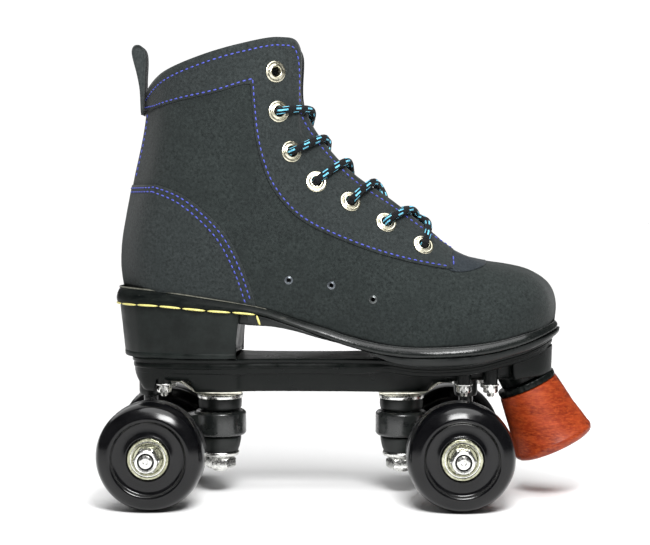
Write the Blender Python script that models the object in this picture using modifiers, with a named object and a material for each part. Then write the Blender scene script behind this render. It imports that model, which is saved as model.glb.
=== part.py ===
"""Quad roller skate: a laced high-top boot on a nylon plate with two steering trucks,
four wheels on ball bearings and a rubber toe stop.

Frame: +X to the toe, +Y to the skater's left, +Z up, the ground at z = 0.
Tables and sizes below are in millimetres; every mesh is made in metres.
"""
import math

import bmesh
import bpy
from mathutils import Matrix, Vector
from mathutils.bvhtree import BVHTree

MM = 0.001
GAP = 0.3
OBJECT_NAME = "quad_roller_skate"

# Wheels, bearings and axles
WHEEL_R = 29.0
WHEEL_HALF_W = 15.8
WHEEL_Y = 43.5
WHEEL_STEPS = 20
BEARING_R = 11.0
BEARING_W = 7.0
BEARING_OFFSET = 11.0
AXLE_R = 3.7
BORE_R = 4.1
AXLE_HALF = 67.0
NUT_ACROSS_R = 7.2
NUT_H = 8.0
ROUND_STEPS = 16

# Trucks: axle and kingpin positions along the skate, heights of the stack
AXLE_Z = WHEEL_R
TRUCKS = {
    "rear": {"axle_x": -106.0, "kingpin_x": -73.0, "outward": -1.0},
    "front": {"axle_x": 59.0, "kingpin_x": 29.0, "outward": 1.0},
}
PIVOT_REACH = 6.0
PIVOT_Z = 57.5
RING_TOP = 47.3
RING_BOTTOM = 33.6
RING_R = 14.6
RING_HOLE_R = 6.6
KINGPIN_R = 4.6
KINGPIN_TOP = 73.0
KINGPIN_BOTTOM = 13.0
HOUSING_R = 8.6
HOUSING_HALF = 26.0
HOUSING_NECK = 28.7

# Plate
PLATE_TOP = 78.4
PLATE_UNDERSIDE = 60.0
BOLT_R = 2.6
BOLT_Y = 20.0
BOLTS = {"heel": (-102.0, 92.0), "ball": (62.5, 82.0), "toe": (77.0, 83.0)}
BOSS_R = 6.6
BOSS_BOTTOM = 66.0

# Toe stop: a tapered rubber block on a stem that leans forward
STOP_TOP = (99.9, 61.1)
STOP_LEAN = math.radians(25.0)
STOP_H = 36.3
STOP_TOP_R = 17.1
STOP_BOTTOM_R = 23.0
STEM_R = 7.4

# Boot sole lines in side view, (x, z)
WELT_TOP = [(-135, 120.2), (-95, 115), (-62, 109.8), (-44, 106), (-27, 99.8), (-14, 96), (2, 91),
            (20, 87.4), (41, 86.4), (70, 88.4), (93, 93), (125, 102)]
SOLE_BOTTOM = [(-135, 103.9), (-60.5, 97.9), (-42, 96.6), (-29, 93.9), (-16, 90.1), (3.4, 85.2),
               (19, 79), (32.6, 76.3), (50.4, 75.9), (68.3, 77.4), (86, 81.6), (99.5, 85.4), (125, 96)]
RAND_H = 8.5
WELT_H = 3.6
RAND_END_X = -56.0
WELT_START_X = -26.0

# Boot outline at the welt, right (inner) side: (x, half width), and how much wider the left side is
FOOT_PLAN = [(-126.5, 0, 0), (-124.5, 8, 0), (-119, 16, 0.2), (-111, 22.5, 0.5), (-90, 29.8, 1),
             (-60, 30, 2), (-32, 27.5, 5.5), (-14, 27.6, 8.5), (0, 29, 10), (20, 34, 8.7),
             (42, 38.7, 5), (66, 39.5, 2), (90, 33.5, -1.5), (100, 27.5, -2.5), (107, 20.5, -3),
             (112.4, 11, -2.5), (114.6, 0, 0)]

# Upper: ribs from the welt up to the collar, facing and throat, right side, as
# (base x, base half width, lateral extra, lower handle, upper handle, top)
UPPER_RIBS = [
    (-126.5, 0.0, 0.0, (-134, 0, 145), (-112, 0, 195), (-114, 0, 225.5)),
    (-112.0, 22.0, 0.5, (-118, 28, 145), (-99, 19, 195), (-101, 23.5, 234.6)),
    (-90.0, 29.8, 1.0, (-93, 35.5, 142), (-84, 27, 200), (-82, 34, 241.8)),
    (-60.0, 30.0, 2.0, (-60, 36.5, 140), (-63, 33, 200), (-60, 35.5, 248.2)),
    (-32.0, 27.5, 5.5, (-33, 37, 132), (-47, 31.5, 205), (-38.5, 26.5, 252.9)),
    (-14.0, 27.6, 8.5, (-14, 38, 125), (-38, 28, 190), (-27.3, 18.0, 248)),
    (0.0, 29.0, 10.0, (1, 39, 117), (-27, 31, 180), (-25.6, 14.5, 216)),
    (20.0, 34.0, 8.7, (22, 42.5, 108), (1, 31, 165), (-6, 13.5, 186)),
    (42.0, 38.7, 5.0, (44, 46, 103), (25, 30, 149), (21.5, 13.5, 165.6)),
    (66.0, 39.5, 2.0, (69, 46, 107), (55, 29, 133), (43.5, 12.8, 148.4)),
    (90.0, 33.5, -1.5, (95, 40, 115), (80, 27, 130), (55, 9.0, 137.3)),
    (107.0, 20.5, -3.0, (112, 25, 120), (96, 16, 130.4), (58, 4.5, 133.8)),
    (114.6, 0.0, 0.0, (119, 0, 122), (104, 0, 130.4), (58.6, 0, 133.4)),
]
RIB_SPLIT = 2
RIB_ROWS = 8
UPPER_T = 2.4

# Eyelets down the right facing in side view, (x, z), top to bottom, and the vent holes
EYELETS = [(-40.3, 234), (-38.7, 212.6), (-31.8, 191.1), (-18.3, 174.9), (0.1, 164.1),
           (19.5, 152.8), (39.6, 140.6)]
EYELET_HOLE_R = 3.2
VENTS = [(-33, 121.9), (-10, 119.2), (12.4, 111.8)]
VENT_R = 1.5

# Tongue centre line in side view, and its cross-section
TONGUE_LINE = [(63, 133), (55, 137.5), (43.5, 148.4), (21.5, 165.6), (-6, 186), (-19, 202),
               (-25.3, 217), (-26.4, 233), (-27, 249)]
TONGUE_HALF_W = 20.0
TONGUE_DROP = 8.0
TONGUE_SAG = 11.5
TONGUE_T = 3.2

# Lace: how far it stands off the upper, and its heights where it meets the facing edges
LACE_R = 2.0
LACE_OVER = 5.4
LACE_UNDER = 2.8
EDGE_W = 14.5
EDGE_OVER = 6.0
EDGE_UNDER = 6.8
CROSS_OVER = 2.8
CROSS_UNDER = 2.2
LACE_TAIL = [(18.5, 1.5, 42), (15.5, 1.5, 30), (11.0, 2.5, 16), (5.5, 3.5, 6)]
AGLET_L = 18.0

MATERIALS = {
    "suede": ("charcoal_suede", (0.035, 0.040, 0.041), 0.92, 0.0),
    "lining": ("dark_lining", (0.025, 0.025, 0.028), 0.9, 0.0),
    "sole": ("black_sole", (0.012, 0.012, 0.012), 0.42, 0.0),
    "lace": ("black_lace", (0.015, 0.02, 0.025), 0.85, 0.0),
    "aglet": ("clear_aglet", (0.05, 0.05, 0.055), 0.25, 0.0),
    "nylon": ("black_nylon", (0.012, 0.012, 0.013), 0.38, 0.0),
    "wheel": ("gloss_urethane", (0.008, 0.008, 0.009), 0.12, 0.0),
    "stop": ("orange_rubber", (0.62, 0.09, 0.03), 0.45, 0.0),
    "cushion": ("black_rubber", (0.015, 0.015, 0.015), 0.6, 0.0),
    "cast": ("black_cast", (0.02, 0.02, 0.021), 0.4, 0.6),
    "zinc": ("bright_zinc", (0.72, 0.72, 0.70), 0.25, 1.0),
    "steel": ("bearing_steel", (0.68, 0.67, 0.62), 0.22, 1.0),
}


def clear_scene():
    for obj in list(bpy.data.objects):
        bpy.data.objects.remove(obj, do_unlink=True)


def make_collection(name):
    collection = bpy.data.collections.new(name)
    bpy.context.scene.collection.children.link(collection)
    return collection


def get_material(key):
    name, colour, roughness, metallic = MATERIALS[key]
    if name in bpy.data.materials:
        return bpy.data.materials[name]
    material = bpy.data.materials.new(name)
    material.use_nodes = True
    shader = material.node_tree.nodes["Principled BSDF"]
    shader.inputs["Base Color"].default_value = (*colour, 1.0)
    shader.inputs["Roughness"].default_value = roughness
    shader.inputs["Metallic"].default_value = metallic
    return material


def add_object(name, mesh, key=None):
    """A part when it has a material key, a construction shape when it has none."""
    obj = bpy.data.objects.new(name, mesh)
    if key is None:
        CUTTERS.objects.link(obj)
        obj.hide_render = True
        obj.display_type = 'WIRE'
    else:
        PARTS.objects.link(obj)
        obj.data.materials.append(get_material(key))
    return obj


def boolean(target, other, operation):
    modifier = target.modifiers.new(operation.title(), 'BOOLEAN')
    modifier.operation = operation
    modifier.object = other
    modifier.solver = 'EXACT'


def lathe(name, profile, key=None, steps=ROUND_STEPS, ring=False):
    """Turn a profile of (radius, height) about Z; a ring's profile is a closed loop."""
    mesh = bpy.data.meshes.new(name)
    verts = [(r * MM, 0.0, z * MM) for r, z in profile]
    edges = [(i, i + 1) for i in range(len(profile) - 1)]
    if ring:
        edges.append((len(profile) - 1, 0))
    mesh.from_pydata(verts, edges, [])
    obj = add_object(name, mesh, key)
    turn = obj.modifiers.new("Turn", 'SCREW')
    turn.axis = 'Z'
    turn.angle = math.tau
    turn.steps = steps
    turn.render_steps = steps
    turn.use_merge_vertices = True
    turn.merge_threshold = 0.00001
    turn.use_smooth_shade = True
    return obj


def rod(name, radius, bottom, top, key=None, steps=ROUND_STEPS, chamfer=0.0):
    """A round bar along Z, with chamfered ends when chamfer is set."""
    profile = [(0, top), (radius - chamfer, top), (radius, top - chamfer)]
    profile += [(radius, bottom + chamfer), (radius - chamfer, bottom), (0, bottom)]
    if chamfer == 0.0:
        profile = [(0, top), (radius, top), (radius, bottom), (0, bottom)]
    return lathe(name, profile, key, steps)


def collar(name, outer, inner, bottom, top, key=None, steps=ROUND_STEPS):
    """A plain ring along Z."""
    profile = [(outer, top), (outer, bottom), (inner, bottom), (inner, top)]
    return lathe(name, profile, key, steps, ring=True)


def place(obj, x, y, z):
    obj.location = (x * MM, y * MM, z * MM)
    return obj


def along_y(obj):
    """Turn a shape made along Z so that it lies along +Y."""
    obj.rotation_euler = (-math.pi / 2, 0.0, 0.0)
    return obj


def prism(name, outline, half_depth, key=None, upright=False):
    """A flat outline extruded both ways; an upright one is drawn in X and Z."""
    curve = bpy.data.curves.new(name, 'CURVE')
    curve.dimensions = '2D'
    curve.fill_mode = 'BOTH'
    curve.extrude = half_depth * MM
    spline = curve.splines.new('POLY')
    spline.points.add(len(outline) - 1)
    for point, (u, v) in zip(spline.points, outline):
        point.co = (u * MM, v * MM, 0.0, 1.0)
    spline.use_cyclic_u = True
    source = bpy.data.objects.new(name + "_curve", curve)
    CUTTERS.objects.link(source)
    bpy.context.view_layer.update()
    graph = bpy.context.evaluated_depsgraph_get()
    mesh = bpy.data.meshes.new_from_object(source.evaluated_get(graph))
    bpy.data.objects.remove(source, do_unlink=True)
    work = bmesh.new()
    work.from_mesh(mesh)
    bmesh.ops.remove_doubles(work, verts=work.verts, dist=0.00001)
    bmesh.ops.recalc_face_normals(work, faces=work.faces)
    if upright:
        bmesh.ops.rotate(work, verts=work.verts, matrix=Matrix.Rotation(math.pi / 2, 3, 'X'))
    work.to_mesh(mesh)
    work.free()
    mesh.materials.clear()
    return add_object(name, mesh, key)


def interpolate(points, x):
    """Height of a polyline at x."""
    for (x0, z0), (x1, z1) in zip(points, points[1:]):
        if x <= x1:
            return z0 + (z1 - z0) * (x - x0) / (x1 - x0)
    return points[-1][1]


def smooth_curve(points, steps):
    """Points on a Catmull-Rom curve through the given vectors, steps to each span."""
    result = []
    last = len(points) - 1
    for i in range(last):
        a = points[max(i - 1, 0)]
        b = points[i]
        c = points[i + 1]
        d = points[min(i + 2, last)]
        for k in range(steps):
            t = k / steps
            result.append(0.5 * (2 * b + (c - a) * t + (2 * a - 5 * b + 4 * c - d) * t ** 2
                                 + (3 * b - a - 3 * c + d) * t ** 3))
    result.append(points[last].copy())
    return result


def foot_outline(margin):
    """The boot's outline at the welt, grown outward by margin, counter-clockwise from the heel."""
    right = smooth_curve([Vector((x, w)) for x, w, extra in FOOT_PLAN], 2)
    left = smooth_curve([Vector((x, w + extra)) for x, w, extra in FOOT_PLAN], 2)
    loop = [Vector((p.x, -p.y)) for p in right] + list(reversed(left))[1:-1]
    grown = []
    for i, point in enumerate(loop):
        along = loop[(i + 1) % len(loop)] - loop[i - 1]
        normal = Vector((along.y, -along.x)).normalized()
        grown.append(point + normal * margin)
    return [(p.x, p.y) for p in grown]


def trimmed(line, low, high):
    """The part of a side-view line between two x values."""
    inside = [(x, z) for x, z in line if low < x < high]
    return [(low, interpolate(line, low))] + inside + [(high, interpolate(line, high))]


def shifted(line, dz):
    return [(x, z + dz) for x, z in line]


def slab(name, plan, lower, upper, key=None):
    """A plan outline extruded upward, kept between two side-view lines."""
    obj = prism(name, plan, 200, key)
    side = prism(name + "_side", lower + list(reversed(upper)), 80, upright=True)
    boolean(obj, side, 'INTERSECT')
    return obj


def seam_line():
    """Where the welt meets the outsole: deeper round the heel, thin round the forefoot."""
    result = []
    for x in (-135, RAND_END_X, WELT_START_X, -14, 2, 20, 41, 70, 93, 125):
        depth = RAND_H if x <= RAND_END_X else WELT_H
        result.append((x, interpolate(WELT_TOP, x) - depth))
    return result


def build_sole():
    seam = seam_line()
    slab("boot_welt", foot_outline(2.6), shifted(seam, GAP / 2), WELT_TOP, "sole")
    outsole = slab("boot_outsole", foot_outline(3.0), SOLE_BOTTOM, shifted(seam, -GAP / 2), "sole")
    insole_low = shifted(WELT_TOP, GAP)
    slab("boot_insole", foot_outline(-4.6), insole_low, shifted(WELT_TOP, 3.6), "lining")
    return outsole


def build_heel():
    rear, front = -126.5, -60.6
    outline = [(x, y) for x, y in foot_outline(0.8) if x < front]
    front_edge = max(y for x, y in outline if x > front - 30)
    outline_right = [p for p in outline if p[1] <= 0]
    outline_left = [p for p in outline if p[1] > 0]
    plan = outline_right + [(front, -front_edge + 1), (front - 3, 0), (front, front_edge)]
    plan += outline_left
    roof = shifted(trimmed(SOLE_BOTTOM, rear - 2, front + 1), -GAP)
    base = PLATE_TOP + GAP
    floor = [(front + 1, base), (rear + 6.5, base), (rear + 4.2, base + 2.2)]
    heel = prism("boot_heel", plan, 200, "sole")
    side = prism("boot_heel_side", roof + floor, 80, upright=True)
    boolean(heel, side, 'INTERSECT')
    return heel


def rib_point(rib, side, t):
    """A point on one rib; side is -1 for the right (inner) half and +1 for the left."""
    base_x, base_w, extra, low, high, top = rib
    base = Vector((base_x, base_w, interpolate(WELT_TOP, base_x) + GAP))
    low = Vector(low)
    high = Vector(high)
    top = Vector(top)
    point = ((1 - t) ** 3 * base + 3 * (1 - t) ** 2 * t * low
             + 3 * (1 - t) * t ** 2 * high + t ** 3 * top)
    if side > 0:
        point.y += extra * (1 - t) ** 1.3
    return Vector((point.x, side * point.y, point.z))


def upper_grid():
    """Rows of points round the boot, from the welt (row 0) to the top edge (last row)."""
    rows = []
    for row in range(RIB_ROWS):
        t = row / (RIB_ROWS - 1)
        right = smooth_curve([rib_point(rib, -1, t) for rib in UPPER_RIBS], RIB_SPLIT)
        left = smooth_curve([rib_point(rib, 1, t) for rib in UPPER_RIBS], RIB_SPLIT)
        ring = right + list(reversed(left))[1:-1]
        if row == 0:
            for p in ring:
                p.z = interpolate(WELT_TOP, p.x) + GAP
        rows.append(ring)
    return rows


def grid_mesh(name, rows, closed):
    """Quads between rows of points; closed joins each row's last point to its first."""
    mesh = bpy.data.meshes.new(name)
    count = len(rows[0])
    verts = [tuple(p * MM) for row in rows for p in row]
    faces = []
    for j in range(len(rows) - 1):
        for i in range(count if closed else count - 1):
            k = (i + 1) % count
            faces.append((j * count + i, j * count + k, (j + 1) * count + k, (j + 1) * count + i))
    mesh.from_pydata(verts, [], faces)
    mesh.shade_smooth()
    return mesh


def thicken(obj, thickness):
    """Give an open surface a wall inward of it."""
    wall = obj.modifiers.new("Wall", 'SOLIDIFY')
    wall.thickness = thickness * MM
    wall.offset = -1.0
    wall.use_rim = True


def surface_hits(tree, points, side):
    """Where lines along Y meet the upper's outer surface on one side, with its normal."""
    hits = []
    for x, z in points:
        origin = Vector((x * MM, side * 0.2, z * MM))
        place_on, normal, _, _ = tree.ray_cast(origin, Vector((0, -side, 0)))
        if normal.y * side < 0:
            normal = -normal
        hits.append((place_on / MM, normal))
    return hits


def hole_cutter(name, hits, radius):
    """Short round bars through the wall at each hit, joined as one cutter."""
    work = bmesh.new()
    for centre, normal in hits:
        turn = normal.to_track_quat('Z', 'Y').to_matrix().to_4x4()
        move = Matrix.Translation(centre * MM)
        bmesh.ops.create_cone(work, cap_ends=True, segments=10, radius1=radius * MM,
                              radius2=radius * MM, depth=0.010, matrix=move @ turn)
    mesh = bpy.data.meshes.new(name)
    work.to_mesh(mesh)
    work.free()
    return add_object(name, mesh)


def build_upper():
    rows = upper_grid()
    mesh = grid_mesh("boot_upper", rows, closed=True)
    upper = add_object("boot_upper", mesh, "suede")
    work = bmesh.new()
    work.from_mesh(mesh)
    tree = BVHTree.FromBMesh(work)
    work.free()
    right = surface_hits(tree, EYELETS, -1)
    left = surface_hits(tree, EYELETS, 1)
    vents = surface_hits(tree, VENTS, -1)
    thicken(upper, UPPER_T)
    boolean(upper, hole_cutter("eyelet_holes", right + left, EYELET_HOLE_R), 'DIFFERENCE')
    boolean(upper, hole_cutter("vent_holes", vents, VENT_R), 'DIFFERENCE')
    return right, left


def build_tongue():
    """A padded strip under the facings, bowed across its width."""
    line = smooth_curve([Vector((x, 0, z)) for x, z in TONGUE_LINE], 2)
    across = [-1.0, -0.7, -0.35, 0.0, 0.35, 0.7, 1.0]
    rows = []
    for i, point in enumerate(line):
        along = (line[min(i + 1, len(line) - 1)] - line[max(i - 1, 0)]).normalized()
        inward = Vector((-along.z, 0, along.x))
        row = []
        for s in across:
            drop = TONGUE_DROP + TONGUE_SAG * s * s
            row.append(point + inward * drop + Vector((0, s * TONGUE_HALF_W, 0)))
        rows.append(row)
    mesh = grid_mesh("boot_tongue", rows, closed=False)
    tongue = add_object("boot_tongue", mesh, "lining")
    thicken(tongue, TONGUE_T)


def build_pull_tab():
    """A folded strap that stands up from the back of the collar."""
    outline = [(-112.9, 226.6), (-114.5, 226.0), (-114.7, 213.0), (-116.2, 213.0), (-116.8, 226.0),
               (-118.4, 235.0), (-121.0, 244.5), (-121.2, 249.0), (-119.4, 251.2), (-116.0, 251.0),
               (-113.6, 248.0), (-113.2, 242.0), (-114.0, 234.0)]
    tab = prism("boot_pull_tab", outline, 6.5, "suede", upright=True)
    soften = tab.modifiers.new("Soften", 'BEVEL')
    soften.width = 0.0006
    soften.segments = 1
    soften.limit_method = 'ANGLE'


def throat_frames():
    """Points down the middle of the throat, each with its outward direction."""
    line = smooth_curve([Vector((x, 0, z)) for x, z in TONGUE_LINE], 8)
    frames = []
    for i, point in enumerate(line):
        along = (line[min(i + 1, len(line) - 1)] - line[max(i - 1, 0)]).normalized()
        frames.append((point, Vector((along.z, 0, -along.x))))
    return frames


def nearest_frame(frames, centre):
    flat = Vector((centre.x, 0, centre.z))
    return min(range(len(frames)), key=lambda i: (frames[i][0] - flat).length)


def throat_point(frames, place_on, width, height):
    """A point at a place along the throat, width to the left and height above the facings."""
    low = min(int(place_on), len(frames) - 2)
    share = place_on - low
    point = frames[low][0].lerp(frames[low + 1][0], share)
    outward = frames[low][1].lerp(frames[low + 1][1], share).normalized()
    return point + outward * height + Vector((0, width, 0))


def lace_half(frames, order, cross_height):
    """One zigzag, from its tail inside the boot to outside its last eyelet."""
    centre, normal = order[0]
    side = 1.0 if centre.y > 0 else -1.0
    route = []
    for back, inset, down in LACE_TAIL:
        route.append(Vector((centre.x - back, centre.y - side * inset, centre.z - down)))
    route.append(centre - normal * (UPPER_T + LACE_UNDER))
    for (here, out), (there, there_out) in zip(order, order[1:]):
        side = 1.0 if here.y > 0 else -1.0
        start = nearest_frame(frames, here)
        end = nearest_frame(frames, there)
        route.append(here - out * (UPPER_T / 2))
        route.append(here + out * LACE_OVER)
        for share, width, height in ((0.2, EDGE_W, EDGE_OVER), (0.5, 0.0, cross_height),
                                     (0.8, -EDGE_W, -EDGE_UNDER)):
            place_on = start + (end - start) * share
            route.append(throat_point(frames, place_on, side * width, height))
        route.append(there - there_out * (UPPER_T + LACE_UNDER))
    last, last_out = order[-1]
    route.append(last - last_out * (UPPER_T / 2))
    route.append(last + last_out * LACE_OVER)
    return route


def build_lace(right, left):
    """One cord laced from the inside out through eyelets two to seven."""
    frames = throat_frames()
    order_a = [right[1], left[2], right[3], left[4], right[5], left[6]]
    order_b = [left[1], right[2], left[3], right[4], left[5], right[6]]
    first = lace_half(frames, order_a, CROSS_OVER)
    second = lace_half(frames, order_b, -CROSS_UNDER)
    bar_at = nearest_frame(frames, right[6][0])
    bar = [throat_point(frames, bar_at, width, EDGE_OVER) for width in (EDGE_W, 0, -EDGE_W)]
    return first + bar + list(reversed(second))


def build_cord(name, route, radius, key):
    curve = bpy.data.curves.new(name, 'CURVE')
    curve.dimensions = '3D'
    curve.bevel_depth = radius * MM
    curve.bevel_resolution = 2
    curve.use_fill_caps = True
    spline = curve.splines.new('POLY')
    spline.points.add(len(route) - 1)
    for point, position in zip(spline.points, route):
        point.co = (*(position * MM), 1.0)
    obj = bpy.data.objects.new(name, curve)
    PARTS.objects.link(obj)
    curve.materials.append(get_material(key))
    return obj


def build_aglet(name, route):
    """The hard tip past one end of the lace."""
    along = (route[0] - route[1]).normalized()
    start = route[0] + along * GAP
    tip = rod(name, LACE_R - 0.3, 0.0, AGLET_L, "aglet", steps=10, chamfer=0.4)
    tip.location = start * MM
    tip.rotation_mode = 'QUATERNION'
    tip.rotation_quaternion = along.to_track_quat('Z', 'Y')


def stop_frame(obj):
    """Place a shape made along Z on the toe stop's axis, its z = 0 at the rubber's top."""
    obj.location = (STOP_TOP[0] * MM, 0.0, STOP_TOP[1] * MM)
    obj.rotation_euler = (0.0, -STOP_LEAN, 0.0)
    return obj


def build_plate():
    top = [(-119.8, PLATE_TOP), (17.0, PLATE_TOP)]
    top += shifted(trimmed(SOLE_BOTTOM, 21.5, 112.6), -GAP)
    flange_plan = [(-119.8, -14), (-113, -22), (-100, -27), (-70, -28), (-52, -22), (-10, -22),
                   (18, -27), (40, -31), (66, -31.5), (88, -27), (104, -19), (112.6, -8)]
    flange_plan += [(x, -y) for x, y in reversed(flange_plan)]
    plate = slab("sole_plate", flange_plan, shifted(top, -5.5), top, "nylon")
    spine_plan = [(-119.5, -13), (-84, -15), (-58, -19), (10, -19), (34, -15), (84, -14.8),
                  (91, -19), (104, -16), (112.3, -8)]
    spine_plan += [(x, -y) for x, y in reversed(spine_plan)]
    lower = [(-119.5, 72.0), (-112, PLATE_UNDERSIDE), (48, PLATE_UNDERSIDE), (60, 62.5),
             (74, 65), (112.3, 69)]
    spine = slab("plate_spine", spine_plan, lower, shifted(top, -3.0))
    boolean(plate, spine, 'UNION')
    for name, (x, _) in BOLTS.items():
        for side in (-1, 1):
            roof = interpolate(top, x) - 2.0
            boss = place(rod(f"boss_{name}_{side}", BOSS_R, BOSS_BOTTOM, roof, steps=12),
                         x, side * BOLT_Y, 0)
            boolean(plate, boss, 'UNION')
    stop_boss = stop_frame(rod("stop_boss", 13.5, 3.0, 17.0, steps=20))
    boolean(plate, stop_boss, 'UNION')
    boolean(plate, stop_frame(rod("nut_space", 19.0, -9.0, 4.0, steps=20)), 'DIFFERENCE')
    for low, high in ((-52, -32), (-28, -8)):
        pocket = [(low, -15.5), (high, -15.5), (high, 15.5), (low, 15.5)]
        hollow = prism(f"pocket_{high}", pocket, 7)
        boolean(plate, place(hollow, 0, 0, PLATE_UNDERSIDE + 4), 'DIFFERENCE')
    seats = []
    for truck in TRUCKS.values():
        seats.append((truck["kingpin_x"], 0, 8.6, 66.0, 90))
        seats.append((truck["axle_x"] + truck["outward"] * PIVOT_REACH, 0, 7.3, 50, 66.3))
    boolean(plate, drills("plate_seats", seats), 'DIFFERENCE')
    holes = [(truck["kingpin_x"], 0, KINGPIN_R + 0.4, 40, 90) for truck in TRUCKS.values()]
    boolean(plate, drills("plate_holes", holes + bolt_drills()), 'DIFFERENCE')
    boolean(plate, stop_frame(rod("stem_hole", STEM_R + 0.4, -5.0, 20.5, steps=20)), 'DIFFERENCE')
    return plate


def bolt_drills(names=tuple(BOLTS)):
    """The holes that the named plate bolts need, as (x, y, radius, bottom, top)."""
    return [(BOLTS[name][0], side * BOLT_Y, BOLT_R + 0.35, 50, BOLTS[name][1] + 0.4)
            for name in names for side in (-1, 1)]


def drills(name, holes):
    """One cutter holding several upright drills."""
    work = bmesh.new()
    for x, y, radius, bottom, top in holes:
        middle = Matrix.Translation(Vector((x, y, (bottom + top) / 2)) * MM)
        bmesh.ops.create_cone(work, cap_ends=True, segments=16, radius1=radius * MM,
                              radius2=radius * MM, depth=(top - bottom) * MM, matrix=middle)
    mesh = bpy.data.meshes.new(name)
    work.to_mesh(mesh)
    work.free()
    return add_object(name, mesh)


def build_bolts(heel, outsole):
    boolean(heel, drills("heel_drills", bolt_drills(["heel"])), 'DIFFERENCE')
    boolean(outsole, drills("sole_drills", bolt_drills(["ball", "toe"])), 'DIFFERENCE')
    for name, (x, drill_top) in BOLTS.items():
        for side, label in ((-1, "right"), (1, "left")):
            nut_top = BOSS_BOTTOM - GAP
            profile = [(0, drill_top), (BOLT_R, drill_top), (BOLT_R, nut_top), (4.6, nut_top),
                       (4.6, nut_top - 4.6), (BOLT_R, nut_top - 4.6), (BOLT_R, nut_top - 6.6),
                       (0, nut_top - 6.6)]
            bolt = lathe(f"plate_bolt_{name}_{label}", profile, "zinc", steps=6)
            place(bolt, x, side * BOLT_Y, 0)


def build_toe_stop():
    profile = [(0, 0), (STOP_TOP_R - 1, 0), (STOP_TOP_R, -1), (STOP_BOTTOM_R, 3 - STOP_H),
               (STOP_BOTTOM_R - 0.6, 1.2 - STOP_H), (STOP_BOTTOM_R - 2.6, -STOP_H), (0, -STOP_H)]
    rubber = stop_frame(lathe("toe_stop_rubber", profile, "stop", steps=28))
    boolean(rubber, stop_frame(rod("stop_socket", STEM_R + 0.4, -20.4, 5, steps=20)), 'DIFFERENCE')
    stop_frame(rod("toe_stop_stem", STEM_R, -20.0, 20.0, "zinc", steps=20, chamfer=0.8))
    stop_frame(collar("toe_stop_lock_nut", 16.6, STEM_R + 0.4, GAP, 3.7, "nylon", steps=24))


def build_hanger(name, truck):
    """Cast yoke: kingpin ring, web, axle housing and pivot pin, about its steering axis."""
    out = truck["outward"]
    ring_x = truck["kingpin_x"]
    axle_x = truck["axle_x"]
    pivot_x = axle_x + out * PIVOT_REACH
    web = [(ring_x + out * 11, RING_TOP - 1.5), (ring_x + out * 11, RING_BOTTOM + 1.0),
           (axle_x - out * 3, AXLE_Z - 7), (axle_x + out * 6, AXLE_Z - 2),
           (pivot_x + out * 3.2, AXLE_Z + 9), (pivot_x - out * 4, AXLE_Z + 14)]
    hanger = prism(f"{name}_hanger", web, 9.0, "cast", upright=True)
    relief = along_y(rod(f"{name}_relief", HOUSING_R - 2.2, -40, 40))
    boolean(hanger, place(relief, axle_x, 0, AXLE_Z), 'DIFFERENCE')
    ring_profile = [(RING_R - 1.5, RING_TOP), (RING_R, RING_TOP - 1.5),
                    (RING_R, RING_BOTTOM + 1.5), (RING_R - 1.5, RING_BOTTOM),
                    (RING_HOLE_R, RING_BOTTOM), (RING_HOLE_R, RING_TOP)]
    ring = lathe(f"{name}_ring", ring_profile, steps=20, ring=True)
    boolean(hanger, place(ring, ring_x, 0, 0), 'UNION')
    housing_profile = [(6, HOUSING_NECK), (6, HOUSING_HALF), (HOUSING_R, HOUSING_HALF),
                       (HOUSING_R, -HOUSING_HALF), (6, -HOUSING_HALF), (6, -HOUSING_NECK),
                       (BORE_R, -HOUSING_NECK), (BORE_R, HOUSING_NECK)]
    housing = along_y(lathe(f"{name}_housing", housing_profile, ring=True))
    boolean(hanger, place(housing, axle_x, 0, AXLE_Z), 'UNION')
    pin_profile = [(0, PIVOT_Z + 4), (2.4, PIVOT_Z + 3.4), (3.8, PIVOT_Z + 1.5),
                   (4.0, PIVOT_Z - 4), (5.7, AXLE_Z + 7), (0, AXLE_Z + 7)]
    pin = lathe(f"{name}_pin", pin_profile, steps=12)
    boolean(hanger, place(pin, pivot_x, 0, 0), 'UNION')


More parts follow.
